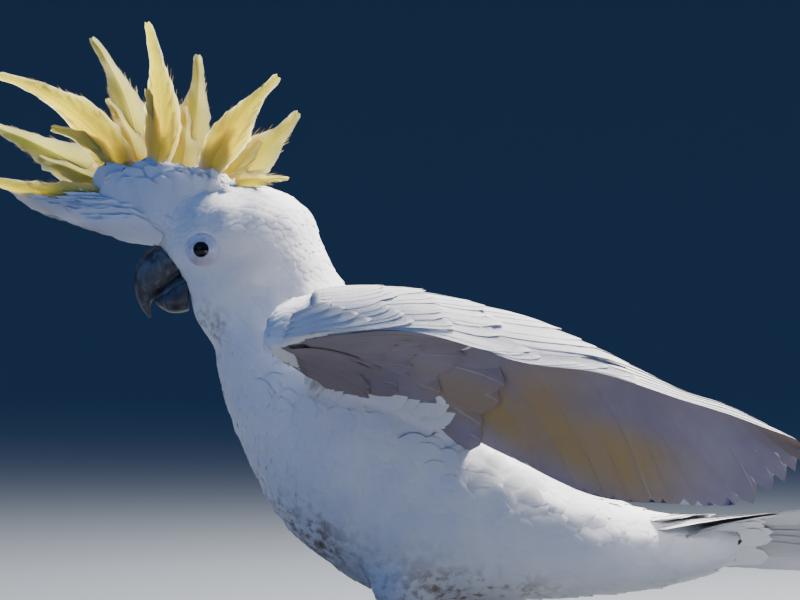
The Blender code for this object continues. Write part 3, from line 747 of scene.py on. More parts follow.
def sulphur_wash(places):
    """How far the underwing is washed with sulphur: a band that runs back and down across the remiges."""
    start = np.array((-0.030, 0.205))
    run = np.array((0.200, -0.086))
    gap = places[..., (0, 2)] - start
    along = gap @ run / (run @ run)
    off = (gap @ np.array((run[1], -run[0]))) / np.linalg.norm(run)
    band = np.exp(-(off / (0.012 + 0.013 * along)) ** 4)
    band = band * soft_step(along, -0.1, 0.3) * (1 - soft_step(along, 0.75, 1.1))
    spread = np.exp(-((gap - (0.105, -0.030)) ** 2).sum(axis=-1) / 0.024 ** 2)
    return np.maximum(band, 0.9 * spread)


# ---- wings -------------------------------------------------------------------------------------
# from the wrist to the tip: x, then (outward y, z) of front edge, ridge and hind edge, as in the solids
WING = (
    (-0.0985, 0.1225, 0.2080, 0.1205, 0.2125, 0.1190, 0.2070),
    (-0.0900, 0.1285, 0.2090, 0.1160, 0.2310, 0.0950, 0.2010),
    (-0.0750, 0.1310, 0.2160, 0.1120, 0.2397, 0.0650, 0.1930),
    (-0.0500, 0.1340, 0.2200, 0.1110, 0.2465, 0.0440, 0.1800),
    (0.0025, 0.1370, 0.2210, 0.1100, 0.2437, 0.0460, 0.1640),
    (0.0605, 0.1360, 0.2030, 0.1080, 0.2310, 0.0480, 0.1360),
    (0.1100, 0.1320, 0.1950, 0.1080, 0.2125, 0.0530, 0.1134),
    (0.1590, 0.1260, 0.1787, 0.1070, 0.1871, 0.0690, 0.1098),
    (0.1885, 0.1220, 0.1689, 0.1055, 0.1774, 0.0790, 0.1095),
    (0.2155, 0.1180, 0.1575, 0.1050, 0.1632, 0.0880, 0.1135),
    (0.2400, 0.1120, 0.1450, 0.1050, 0.1500, 0.0980, 0.1270),
)
ARM_HOLLOW = 0.20
FEATHER_HOLLOW = 0.84
ARM_END = 0.055
ARM_FADE = 0.090
VANE_THICKNESS = 0.0012
SHOULDER_FILL = 0.013
LEAST_CHORD = 0.034
DIP_LENGTH = 0.008

# primaries from the innermost out, each by root x, share of the chord there, tip x, share of the chord
# there, width, painted brown shade and sulphur below
PRIMARIES = (
    (-0.012, 0.20, 0.170, 1.04, 0.0300, 0.00, 1.00),
    (-0.016, 0.19, 0.184, 1.01, 0.0290, 0.00, 1.00),
    (-0.020, 0.18, 0.197, 0.98, 0.0285, 0.00, 0.95),
    (-0.025, 0.17, 0.209, 0.95, 0.0275, 0.00, 0.90),
    (-0.030, 0.16, 0.219, 0.90, 0.0260, 0.00, 0.45),
    (-0.036, 0.15, 0.227, 0.86, 0.0255, 0.05, 0.20),
    (-0.042, 0.13, 0.233, 0.80, 0.0250, 0.30, 0.10),
    (-0.048, 0.12, 0.237, 0.72, 0.0240, 0.75, 0.00),
    (-0.054, 0.10, 0.239, 0.58, 0.0230, 0.95, 0.00),
    (-0.060, 0.08, 0.232, 0.36, 0.0210, 0.95, 0.00),
)
# secondaries from the outermost in
SECONDARIES = (
    (-0.020, 0.24, 0.153, 1.07, 0.0320, 0.00, 1.00),
    (-0.024, 0.29, 0.140, 1.07, 0.0320, 0.00, 0.85),
    (-0.028, 0.34, 0.126, 1.07, 0.0320, 0.00, 1.00),
    (-0.032, 0.40, 0.112, 1.07, 0.0320, 0.00, 0.75),
    (-0.035, 0.45, 0.098, 1.07, 0.0320, 0.00, 0.95),
    (-0.038, 0.51, 0.084, 1.07, 0.0320, 0.00, 0.70),
    (-0.040, 0.56, 0.070, 1.07, 0.0320, 0.05, 0.90),
    (-0.042, 0.62, 0.056, 1.06, 0.0320, 0.05, 0.70),
    (-0.043, 0.68, 0.044, 1.05, 0.0330, 0.05, 0.80),
    (-0.044, 0.74, 0.032, 1.03, 0.0330, 0.05, 0.70),
    (-0.044, 0.80, 0.021, 1.01, 0.0330, 0.05, 0.70),
)


class WingForm:
    """Upper and under face of the left wing, by place along the bird and share of the chord."""

    def __init__(self, stations=90, spans=24):
        rows = smooth_rows(WING, np.linspace(0, 1, stations))
        shares = np.linspace(0, 1, spans + 1)
        upper = []
        lower = []
        for row in rows:
            front, ridge, hind = row[1:3], row[3:5], row[5:7]
            fade = np.clip((ARM_END - row[0]) / ARM_FADE, 0, 1)
            knots = np.array([front, front * 0.45 + ridge * 0.55 + (0.004, 0.004), ridge,
                              ridge * 0.55 + hind * 0.45 + (0.003, 0.006 + SHOULDER_FILL * fade), hind])
            above = smooth_rows(knots, shares)
            hollow = FEATHER_HOLLOW + (ARM_HOLLOW - FEATHER_HOLLOW) * fade
            chord = unit(hind - front)
            upward = np.array((chord[1], -chord[0])) * (1 if chord[0] < 0 else -1)
            flat = front + (hind - front) * shares[:, None]
            upper.append(above)
            lower.append(flat * (1 - hollow) + above * hollow - upward * VANE_THICKNESS)
        self.x = rows[:, 0]
        self.upper = np.array(upper)
        self.lower = np.array(lower)
        self.length = np.linalg.norm(np.diff(self.upper, axis=1), axis=2).sum(axis=1)

    def chord(self, x):
        return np.interp(x, self.x, self.length)

    def at(self, x, share, height):
        """Places (..., 3) on the left side; height 0 is on the under face and 1 on the upper one."""
        station = np.interp(x, self.x, np.arange(len(self.x)))
        row = np.minimum(station.astype(int), len(self.x) - 2)
        part = (station - row)[..., None]
        span = share * (self.upper.shape[1] - 1)
        column = np.clip(np.floor(span).astype(int), 0, self.upper.shape[1] - 2)
        over = (span - column)[..., None]

        def face(table):
            near = table[row, column] * (1 - over) + table[row, column + 1] * over
            far = table[row + 1, column] * (1 - over) + table[row + 1, column + 1] * over
            return near * (1 - part) + far * part

        where = face(self.lower) * (1 - height[..., None]) + face(self.upper) * height[..., None]
        return np.stack([x, -where[..., 0], where[..., 1]], axis=-1)

    def vanes(self, plumes, rows, outline, height, tilt, lift=0.0, bend=0.0, lead=1.0, dip=0.0,
              hem=1.06):
        """Vanes laid in the wing's surface; rows hold root x, share, tip x, share and width.

        height is the level at root and tip, tilt how far the front edge is raised over the hind one,
        bend the bow forward as a share of the length and lead the front half's share of the width.
        dip is how far the roots go down into the coat; a lift inwards fades at the wing's edge.
        hem is the share of the chord where the vanes are trimmed, so that they end in one even line.
        """
        rows = np.asarray(rows, dtype=float)
        root = np.stack([rows[:, 0], rows[:, 1] * self.chord(rows[:, 0])], axis=1)
        tip = np.stack([rows[:, 2], rows[:, 3] * self.chord(rows[:, 2])], axis=1)
        span = np.linalg.norm(tip - root, axis=1)[:, None]
        along = (tip - root) / span
        front = np.stack([along[:, 1], -along[:, 0]], axis=1)
        u, v = plumes.u, plumes.v
        half = frayed(outline(u) * v * np.where(v > 0, lead, 2 - lead) * rows[:, 4:5] / 2, plumes)
        forward = span * u - 0.10 * np.abs(half) * np.clip(u * 4, 0, 1)
        sideways = half + bend * 4 * u * (1 - u) * span
        flat = root[:, None] + along[:, None] * forward[..., None] + front[:, None] * sideways[..., None]
        x = flat[..., 0]
        share = np.minimum(flat[..., 1] / np.maximum(self.chord(x), LEAST_CHORD), hem)
        level = height[0][:, None] * (1 - u) + height[1][:, None] * u
        places = self.at(x, share, level)
        rise = lift * (0.6 + 0.4 * u)
        if lift < 0:
            rise = rise * np.clip(share / 0.16, 0.12, 1.0)
        rise = rise - dip * np.clip(1 - span * u / DIP_LENGTH, 0, 1) + tilt * v / 2
        return places + grid_normals(places, plumes) * rise[..., None]


def remiges(form):
    """Ten primaries and eleven secondaries as closed vanes with uneven halves."""
    plumes = Plumes(6, 40)

    def row(table, levels, point, lead, blunt):
        table = np.array(table)
        count = len(table)
        height = tuple(np.linspace(first, last, count) for first, last in levels)
        places = form.vanes(plumes, table, lambda u: remex_outline(u, point, blunt), height, 0.0012,
                            bend=0.02, lead=lead, hem=0.985)
        # sulphur from the band, less the table's painted brown shade
        sulphur_and_shade = sulphur_wash(places) * table[:, 6:7] * rng.uniform(0.85, 1.0, (count, 1)) - table[:, 5:6]
        add_vanes(plumes, places, 0.0003, sulphur_and_shade=sulphur_and_shade)

    row(PRIMARIES, ((0.50, 0.20), (0.48, 0.04)), 0.88, 0.76, 0.93)
    row(SECONDARIES, ((0.58, 0.85), (0.52, 0.92)), 0.94, 0.90, 0.62)
    return plumes


def covert_row(first, last, count):
    """Rows of root and tip places from the first covert to the last, a little uneven."""
    share = (np.arange(count) / (count - 1))[:, None]
    rows = np.array(first) * (1 - share) + np.array(last) * share
    rows[:, 2] += rng.normal(0, 0.0028, count)
    rows[:, 3] += rng.normal(0, 0.014, count)
    return rows


def coverts(form):
    """Rows of coverts over the roots of the flight feathers, on both faces, and the alula."""
    plumes = Plumes(6, 14)

    def row(first, last, count, level, lift, painted_shade=0.0, slim=0.66, tips=None):
        rows = covert_row(first, last, count)
        root = np.full(count, level)
        tip = root if tips is None else np.linspace(*tips, count)
        face = 1 if level > 0.5 else -1
        places = form.vanes(plumes, rows, lambda u: vane_outline(u, slim, 0.35, 0.15), (root, tip),
                            0.0005, lift=lift * face, bend=0.015, dip=(lift + 0.0022) * face)
        # each row's painted brown shade is taken off its sulphur
        sulphur_and_shade = sulphur_wash(places) * 0.7 - painted_shade * rng.uniform(0.5, 1.0, (count, 1))
        add_vanes(plumes, places, 0.0002, under=1.0 if face < 0 else 0.3, sulphur_and_shade=sulphur_and_shade)

    # upper face: primary coverts, then greater, median and two lesser rows, and those of the front edge
    row((-0.070, 0.05, 0.090, 0.08, 0.0170), (-0.040, 0.16, 0.124, 0.30, 0.0200), 10, 1.0, 0.0010,
        tips=(0.35, 0.62))
    row((-0.050, 0.12, 0.104, 0.34, 0.0230), (-0.045, 0.84, 0.006, 0.98, 0.0250), 16, 1.0, 0.0012,
        tips=(0.66, 0.98))
    row((-0.060, 0.04, 0.056, 0.10, 0.0200), (-0.052, 0.84, -0.010, 0.94, 0.0220), 18, 1.0, 0.0017,
        tips=(0.85, 1.0))
    row((-0.066, 0.04, 0.022, 0.06, 0.0170), (-0.060, 0.84, -0.024, 0.90, 0.0190), 20, 1.0, 0.0022)
    row((-0.074, 0.04, -0.010, 0.06, 0.0150), (-0.070, 0.84, -0.040, 0.88, 0.0170), 22, 1.0, 0.0026)
    row((-0.040, 0.02, 0.050, 0.03, 0.0150), (0.075, 0.02, 0.135, 0.05, 0.0120), 11, 1.0, 0.0016)
    # under face: greater, median and lesser under coverts, then the axillars of the armpit
    row((-0.050, 0.05, 0.095, 0.10, 0.0230), (-0.030, 0.86, 0.036, 0.98, 0.0260), 13, 0.0, 0.0020,
        painted_shade=0.20, tips=(0.06, 0.34))
    row((-0.060, 0.04, 0.060, 0.08, 0.0200), (-0.045, 0.86, 0.006, 0.96, 0.0230), 15, 0.0, 0.0026, 0.35)
    row((-0.066, 0.04, 0.026, 0.07, 0.0180), (-0.056, 0.86, -0.018, 0.94, 0.0190), 18, 0.0, 0.0032, 0.45)
    row((-0.080, 0.06, -0.004, 0.10, 0.0150), (-0.068, 0.86, -0.038, 0.93, 0.0160), 20, 0.0, 0.0038,
        painted_shade=0.55, slim=0.55)
    row((-0.088, 0.30, -0.040, 0.50, 0.0110), (-0.078, 0.92, -0.030, 1.04, 0.0120), 18, 0.0, 0.0050,
        painted_shade=0.60, slim=0.50)
    # alula: four stiff feathers on the front edge behind the wrist
    alula = ((-0.084, 0.06, -0.030, 0.07, 0.0110), (-0.083, 0.09, -0.038, 0.12, 0.0105),
             (-0.082, 0.13, -0.046, 0.17, 0.0100), (-0.081, 0.17, -0.054, 0.22, 0.0095))
    level = np.ones(len(alula))
    places = form.vanes(plumes, alula, lambda u: remex_outline(u, 0.80), (level, level), 0.0006,
                        lift=0.0034)
    add_vanes(plumes, places, 0.00035, under=0.3)
    return plumes


def add_wings(surface, paint):
    form = WingForm()
    flight = remiges(form)
    cover = coverts(form)
    for side, flip in SIDES:
        dress(flight.make(f"remiges_{side}", surface, flip), paint, "plumage",
              f"wing_{side}_primaries", f"wing_{side}_secondaries")
        dress(cover.make(f"coverts_{side}", surface, flip), paint, "plumage")


# ---- tail --------------------------------------------------------------------------------------
TAIL_ROOT_X = 0.140
TAIL_LENGTH = 0.170
TAIL_ROOT_Z = 0.0940
TAIL_RISE = 0.010
TAIL_ROLL = math.radians(28.0)
TAIL_ROOT_HALF = 0.014
TAIL_END_HALF = 0.060
TAIL_ARCH = 0.008
TAIL_FEATHERS = 12


def tail_half(along):
    """Half width of the fan at a distance along it from its root."""
    return TAIL_ROOT_HALF + (TAIL_END_HALF - TAIL_ROOT_HALF) * np.clip(along / TAIL_LENGTH, 0, 1) ** 0.8


def tail_place(along, across, height):
    """Place on the tail's fan: along from its root and across from its middle feather, in metres."""
    level = TAIL_ROOT_Z + TAIL_RISE * along - TAIL_ARCH * (across / tail_half(along)) ** 2 + height
    return np.stack([TAIL_ROOT_X + along, across * math.cos(TAIL_ROLL),
                     level - across * math.sin(TAIL_ROLL)], axis=-1)


def add_tail(surface, paint):
    plumes = Plumes(6, 40)
    u, v = plumes.u, plumes.v
    rank = np.linspace(-1, 1, TAIL_FEATHERS)[:, None]
    root = rank * TAIL_ROOT_HALF * 0.6
    tip = rank * (TAIL_END_HALF - 0.0135)
    reach = TAIL_LENGTH - 0.014 * rank ** 2
    start = -0.010
    side = np.sign(rank) * v
    half = frayed(remex_outline(u, 0.90) * 0.0140 * v * np.where(side > 0, 0.80, 1.12), plumes)
    along = start + (reach - start) * u - 0.12 * np.abs(half) * np.clip(u * 4, 0, 1)
    across = root + (tip - root) * u ** 0.85 + half
    # the middle pair lies on top and each feather tucks its inner half under its neighbour
    stack = (1 - np.abs(rank)) * 0.0030 - 0.0015 + side * 0.0004
    places = tail_place(along, across, stack * np.clip(u * 3, 0.3, 1))
    # across runs to the right, so the fan is turned over to face up
    add_vanes(plumes, places[:, plumes.turned], 0.00035, under=0.4)
    dress(plumes.make("rectrices", surface), paint, "plumage", "tail")


def tail_coverts(surface, paint):
    """Long soft feathers over the tail's root, and under it behind the vent."""
    plumes = Plumes(6, 18)
    u, v = plumes.u, plumes.v
    rows = ((1, -0.024, 0.010, 0.075, 0.85), (-1, 0.030, 0.009, 0.062, 0.92))
    for (face, start, drop, reach, spread), level in itertools.product(rows, range(3)):
        for rank in np.linspace(-0.85, 0.85, 8):
            length = (reach - 0.012 * level) * rng.uniform(0.80, 1.08) * (1 - 0.15 * rank * rank)
            along = start + length * u
            across = rank * tail_half(along) * spread + v * vane_outline(u, 0.8, 0.5, 0.1) * 0.0075
            height = face * (0.0026 + 0.0009 * level + drop * (1 - u) ** 2 * (1 - 0.35 * rank * rank))
            places = tail_place(along, across, height)
            add_vanes(plumes, (places[plumes.turned] if face > 0 else places)[None], 0.0002)
    dress(plumes.make("tail_coverts", surface), paint, "plumage")


# ---- crest -------------------------------------------------------------------------------------
# root x, root z, side offset, heading at the root and at the tip in degrees, length, width
CREST = (
    (-0.1760, 0.2990, -0.0040, 176.0, 163.0, 0.1130, 0.0180),
    (-0.1871, 0.3070, 0.0060, 147.0, 159.0, 0.1120, 0.0225),
    (-0.1839, 0.3110, -0.0060, 112.0, 166.0, 0.1180, 0.0215),
    (-0.1800, 0.3180, 0.0060, 92.0, 126.0, 0.1000, 0.0205),
    (-0.1690, 0.3180, -0.0060, 82.0, 104.0, 0.1010, 0.0210),
    (-0.1560, 0.3180, 0.0060, 68.0, 94.0, 0.0830, 0.0210),
    (-0.1400, 0.3150, -0.0060, 68.0, 42.0, 0.0850, 0.0225),
    (-0.1335, 0.3130, 0.0060, 28.0, 54.0, 0.0740, 0.0235),
    (-0.1320, 0.3150, -0.0070, 8.0, 0.0, 0.0480, 0.0110),
)
CREST_OUTLINE = (0.45, 0.90, 1.18, 1.12, 0.82, 0.52, 0.36, 0.28)
CREST_LEAN = math.radians(7.0)
CREST_TWIST = math.radians(28.0)
WISP_STATIONS = 60


def crest_frames(row, fractions, twist=CREST_TWIST):
    """Places along a crest feather's shaft with the directions along, across and out of its vane."""
    root_x, root_z, offset, first, last, length, _ = row
    side = math.copysign(1.0, offset)
    heading = np.radians(first + (last - first) * fractions)
    forward = unit(np.stack([np.cos(heading), np.full_like(heading, side * math.sin(CREST_LEAN)),
                             np.sin(heading)], axis=1))
    step = np.diff(fractions, prepend=0.0)[:, None] * length
    place = np.array((root_x, offset, root_z)) + np.cumsum(forward * step, axis=0)
    across = np.stack([-np.sin(heading), np.zeros_like(heading), np.cos(heading)], axis=1)
    turn = side * twist * np.minimum(1.0, 2 * fractions)
    across = (across * np.cos(turn)[:, None] + np.cross(forward, across) * np.sin(turn)[:, None]
              + forward * ((forward * across).sum(axis=1) * (1 - np.cos(turn)))[:, None])
    return place, forward, across, unit(np.cross(forward, across))


def crest_half_width(t):
    """Half width of a crest feather as a share of its widest."""
    return smooth_rows([(share,) for share in CREST_OUTLINE], t)[:, 0]


def crest_vane(plumes, row, thickness=0.0003, outline=crest_half_width, slant=0.55, core=None,
               twist=CREST_TWIST):
    """A feather folded along its shaft, with its edges a little uneven and slanted along it."""
    stations = np.linspace(0, 1, plumes.rows + 1)
    place, forward, across, out = crest_frames(row, stations, twist)
    u, v = plumes.u, plumes.v
    index = np.round(u * plumes.rows).astype(int)
    half = row[6] / 2 * outline(u) * np.clip((1.01 - u) / 0.03, 0, 1) ** 0.5
    reach = half * v * (1 + rng.normal(0, 0.05, len(u)) * v ** 2)
    fold = 0.05 * half - 0.30 * np.abs(reach)
    barb = slant * np.abs(reach)
    ripple = 0.0006 * np.sin(u * 19 + rng.uniform(0, 6)) * v
    points = (place[index] + across[index] * reach[:, None] + out[index] * (fold + ripple)[:, None]
              + forward[index] * barb[:, None])
    outward = None if core is None else unit((points - np.array(core)) * (1.0, 3.0, 0.7))[None]
    add_vanes(plumes, points[None], thickness, outward=outward)


def crest_wisps(plumes, row, count):
    """Loose single barbs that stand off the edges of a crest feather."""
    t = np.sort(rng.uniform(0.06, 0.85, count))
    index = np.round(t * (WISP_STATIONS - 1)).astype(int)
    frames = crest_frames(row, np.linspace(0, 1, WISP_STATIONS))
    place, forward, across, out = [values[index] for values in frames]
    side = rng.choice((-1.0, 1.0), count)
    half = row[6] / 2 * crest_half_width(t)
    slant = rng.normal(0.0, 0.25, count)
    flow = unit(forward * 1.5 + across * (side * (0.45 + 0.2 * slant))[:, None]
                + out * rng.normal(-0.05, 0.30, (count, 1)))
    root = (place + across * (side * half * rng.uniform(0.45, 0.85, count))[:, None]
            - out * (0.28 * half)[:, None] + forward * (0.45 * half)[:, None])
    reach = rng.uniform(0.005, 0.015, count) * (1.05 - t)
    u, v = plumes.u[:, None], plumes.v[:, None]
    curl = forward * rng.uniform(0.0, 0.5, (count, 1))
    thick = unit(np.cross(flow, out))
    points = (root[:, None] + (flow[:, None] * u + curl[:, None] * u ** 2) * reach[:, None, None]
              + thick[:, None] * (v * (1 - 0.8 * u)) * 0.00035)
    plumes.add(points, np.broadcast_to(out[:, None], points.shape), rng.random(count))


def add_crest(surface):
    vanes = Plumes(8, 26)
    wisps = Plumes(1, 3)
    for row in CREST:
        x, z, offset, first, last, length, width = row
        spare = (x, z, offset * 0.4, first + 5.0, last + 2.0, length * 0.58, width * 0.80)
        for feather, loose in ((row, 90), (spare, 40)):
            crest_vane(vanes, feather)
            crest_wisps(wisps, feather, loose)
    dress(vanes.make("crest_vanes", surface), crest_paint("crest_sulphur", 0.8), "crest_yellow",
          *[f"crest_{number}" for number in range(1, len(CREST) + 1)])
    dress(wisps.make("crest_barbs", surface), crest_paint("crest_loose_barbs", 0.0), "crest_yellow")


def ruff_outline(u):
    """Half width of a short plume: widening from its root, then round."""
    fall = np.clip((u - 0.55) / 0.45, 0, 1)
    return (0.6 + 0.4 * np.clip(u / 0.55, 0, 1)) * np.sqrt(np.maximum(1 - fall ** 2, 0.01))


def brow_outline(u):
    """Half width of a long plume: even, then drawn out to a fine tip."""
    return (0.5 + 0.5 * soft_step(u, 0.0, 0.35)) * (1 - soft_step(u, 0.45, 1.02)) + 0.02


def forehead_plumes(surface, paint):
    """Long white plumes that lie forward from the brow under the first crest feather."""
    plumes = Plumes(6, 14)
    edge_x = (-0.2710, -0.2470, -0.2116, -0.1740)
    edge_z = (0.3116, 0.3032, 0.2890, 0.2735)
    for layer, rise in enumerate((0.0050, 0.0085, 0.0120, 0.0155)):
        for x, side in itertools.product(np.linspace(-0.166, -0.226 + 0.004 * layer, 16), (-1, 1)):
            over = rise * np.interp(x, (-0.226, -0.175), (0.35, 1.0)) + rng.normal(0, 0.0004)
            root_z = np.interp(x, edge_x, edge_z) + over
            offset = side * np.interp(x, (-0.228, -0.172), (0.0030, 0.0125)) * (1 - 0.12 * layer)
            turn = rng.normal(0, 1.2)
            row = (x, root_z, offset, 156.5 + turn, 160.5 + turn, rng.uniform(0.040, 0.050), 0.0150)
            crest_vane(plumes, row, 0.00012, brow_outline, 0.2, (x - 0.02, 0.0, root_z + 0.012))
    dress(plumes.make("forehead_plumes", surface), paint, "plumage")


def ruff(surface, paint):
    """Short broad white feathers that stand in lumps about the crest's roots."""
    plumes = Plumes(8, 12)
    layers = ((0.0120, 0.294, 0.0300), (0.0110, 0.297, 0.0305), (0.0090, 0.300, 0.0300),
              (0.0068, 0.301, 0.0300), (0.0045, 0.302, 0.0290))
    for layer, (inset, root_z, reach) in enumerate(layers):
        for x, side in itertools.product(np.linspace(-0.190, -0.130, 8) + 0.004 * (layer % 2), (-1, 1)):
            heading = np.interp(x, (-0.190, -0.130), (118.0, 70.0)) + rng.normal(0, 3.0)
            offset = side * inset * (1 + rng.normal(0, 0.06))
            length = reach * rng.uniform(0.84, 1.04) * np.interp(x, (-0.15, -0.125), (1.0, 0.60))
            row = (x, root_z, offset, heading, heading + rng.normal(0, 4.0), length, 0.0225)
            twist = math.radians(rng.normal(10.0, 6.0))
            crest_vane(plumes, row, 0.0001, ruff_outline, -0.1, (-0.160, 0.0, 0.296), twist)
    dress(plumes.make("ruff", surface), paint, "plumage")


# ---- bill --------------------------------------------------------------------------------------
# upper bill: outer point, inner point and half width, from the face to the hooked tip
UPPER_BILL = (
    (-0.1700, 0.2745, -0.1500, 0.2575, 0.0098),
    (-0.1765, 0.2715, -0.1560, 0.2540, 0.0106),
    (-0.1822, 0.2640, -0.1615, 0.2494, 0.0101),
    (-0.1845, 0.2535, -0.1668, 0.2452, 0.0086),
    (-0.1834, 0.2435, -0.1712, 0.2416, 0.0064),
    (-0.1798, 0.2350, -0.1738, 0.2366, 0.0040),
    (-0.1746, 0.2284, -0.1732, 0.2294, 0.0012),
)
# lower bill: bottom point, top point and half width, from the throat to the cutting edge
LOWER_BILL = (
    (-0.1490, 0.2330, -0.1494, 0.2562, 0.0102),
    (-0.1550, 0.2317, -0.1556, 0.2530, 0.0106),
    (-0.1612, 0.2319, -0.1611, 0.2486, 0.0098),
    (-0.1664, 0.2343, -0.1664, 0.2445, 0.0080),
    (-0.1702, 0.2378, -0.1708, 0.2408, 0.0052),
)


def horn(name, rows, steps, points, squareness):
    """A closed loft of superellipses between the outer and inner line of a bill half."""
    stations = smooth_rows(rows, np.linspace(0, 1, steps))
    angle = np.linspace(0, 2 * math.pi, points, endpoint=False)
    along, across = [np.sign(wave) * np.abs(wave) ** (2 / squareness)
                     for wave in (np.cos(angle), np.sin(angle))]
    outer, inner = stations[:, (0, 1)], stations[:, (2, 3)]
    middle = (outer + inner)[..., None] / 2
    growth = 1 + 0.006 * np.sin(np.arange(steps) * 1.7) * np.linspace(0, 1, steps)
    reach = ((outer - inner) / 2 * growth[:, None])[..., None]
    x, z = [middle[:, axis] + reach[:, axis] * along for axis in (0, 1)]
    y = (stations[:, 4] * growth)[:, None] * across
    piece = mesh_object(name, np.stack([x, y, z], axis=-1).reshape(-1, 3), ring_quads(points, steps))
    shape = bmesh.new()
    shape.from_mesh(piece.data)
    ends = bmesh.ops.holes_fill(shape, edges=shape.edges, sides=points)["faces"]
    bmesh.ops.poke(shape, faces=ends, center_mode="MEAN")
    bmesh.ops.recalc_face_normals(shape, faces=shape.faces)
    shape.to_mesh(piece.data)
    shape.free()
    piece.data.shade_smooth()
    return piece


def horn_paint():
    paint = Paint("bill_horn", (0.040, 0.040, 0.045), 0.42, Specular_IOR_Level=0.5)
    grain = paint.vector("MULTIPLY", paint.place(), (1.0, 2.5, 0.45))
    streak = paint.noise(240.0, 5.0, vector=grain)
    cloud = paint.noise(90.0, 4.0)
    # a paler blue grey patch over the curved top of the upper bill, broken up by the cloud
    pale_top_patch = paint.spots(((-0.176, 0.0, 0.268), (0.012, 0.020, 0.012), 0.7, 0.6))
    colour = paint.mix(paint.ramp(cloud, 0.35, 0.7), (0.026, 0.027, 0.030), (0.066, 0.070, 0.080))
    colour = paint.mix(paint.ramp(streak, 0.48, 0.72, 0.0, 0.75), colour, (0.16, 0.19, 0.22))
    colour = paint.mix(pale_top_patch * paint.ramp(cloud, 0.3, 0.65), colour, (0.20, 0.22, 0.27))
    paint.set("Base Color", colour)
    paint.set("Roughness", paint.ramp(streak, 0.3, 0.8, 0.32, 0.58))
    paint.bump(streak + cloud * 0.5, 0.0006, 0.5)
    return paint


def add_bill():
    paint = horn_paint()
    dress(horn("bill_upper_horn", UPPER_BILL, 70, 48, 2.3), paint, "bill_horn", "bill_upper")
    dress(horn("bill_lower_horn", LOWER_BILL, 50, 48, 2.3), paint, "bill_horn", "bill_lower")
    bottom, top, half = np.split(np.array(LOWER_BILL), (2, 4), axis=1)
    mouth = np.column_stack([(bottom + top) / 2, top + (-0.0006, 0.0030), half * 0.80])
    dress(horn("tongue", mouth, 20, 24, 2.0), paint, "bill_horn")


# ---- eyes --------------------------------------------------------------------------------------
LID_INNER = 0.0049
LID_OUTER = 0.0110
CORNEA_EDGE = 0.7


def eyeball(name, side):
    shape = bmesh.new()
    bmesh.ops.create_uvsphere(shape, u_segments=48, v_segments=32, radius=EYE_RADIUS)
    # the cornea bulges a little from the ball
    for vert in shape.verts:
        out = -vert.co.y * side / EYE_RADIUS
        if out > CORNEA_EDGE:
            vert.co *= 1 + 0.03 * ((out - CORNEA_EDGE) / (1 - CORNEA_EDGE)) ** 2
    bmesh.ops.translate(shape, verts=shape.verts, vec=EYE * (1, side, 1) + SHIFT)
    mesh = bpy.data.meshes.new(name)
    shape.to_mesh(mesh)
    shape.free()
    mesh.shade_smooth()
    return placed(name, mesh)


def eye_ring(name, surface, side):
    """Bare wrinkled skin from the lids out to the feathers, in a plane a little turned to the front."""
    turns, steps = 72, 16
    out = unit((-0.10, -1.0, 0.05))
    up = np.array((0.0, 0.05, 1.0))
    up = unit(up - out * (up @ out))
    ahead = np.cross(up, out)
    angle = np.linspace(0, 2 * math.pi, turns, endpoint=False)
    way = ahead * np.cos(angle)[:, None] + up * np.sin(angle)[:, None]
    edge = np.array([surface.tree.find_nearest(place)[0][:] for place in EYE + way * LID_OUTER])
    rim = (edge - EYE) @ out
    rim = (np.roll(rim, 1) + rim + np.roll(rim, -1)) / 3
    share = np.linspace(-0.12, 1.0, steps)[:, None]
    radius = LID_INNER + (LID_OUTER - LID_INNER) * np.maximum(share, -0.04)
    lid = math.sqrt(EYE_RADIUS ** 2 - LID_INNER ** 2) + 0.0007 * np.exp(-((share - 0.10) / 0.10) ** 2)
    blend = np.maximum(share, 0.0) ** 1.2
    wrinkle = 0.00012 * np.sin(share * 26 + 0.7 * np.sin(angle * 3)) * (share > 0.15)
    # the inner edge goes in under the lids and the outer one under the feathers
    tuck = 0.0012 * (share < 0) + 0.0014 * (share > 0.95)
    level = lid * (1 - blend) + (rim + 0.0004) * blend + wrinkle - tuck
    points = (EYE + way * radius[..., None] + out * level[..., None]).reshape(-1, 3)
    faces = ring_quads(turns, steps)
    return mesh_object(name, points * (1, side, 1), faces if side > 0 else faces[:, ::-1])


def ring_paint():
    paint = Paint("eye_ring_skin", (0.56, 0.58, 0.66), 0.55, Specular_IOR_Level=0.35)
    cloud = paint.noise(300.0, 4.0)
    # painted shade: each ring is darker and browner below the eye
    low = paint.spots(*[((EYE[0], y, EYE[2] - 0.0075), (0.009, 0.010, 0.0045), 0.6, 0.6)
                        for y in (-0.028, 0.028)])
    colour = paint.mix(paint.ramp(cloud, 0.35, 0.65), (0.70, 0.73, 0.84), (0.52, 0.55, 0.68))
    paint.set("Base Color", paint.mix(low, colour, (0.46, 0.34, 0.32)))
    paint.bump(paint.noise(900.0) + cloud, 0.0004, 0.6)
    return paint


def add_eyes(surface):
    dark = Paint("eye_dark", (0.006, 0.005, 0.005), 0.12, Specular_IOR_Level=0.35)
    bare = ring_paint()
    for side, name in ((1, "left"), (-1, "right")):
        dress(eyeball(f"eyeball_{name}", side), dark, "eye_dark", f"eye_{name}")
        dress(eye_ring(f"eye_ring_{name}", surface, side), bare, "leg_scale")


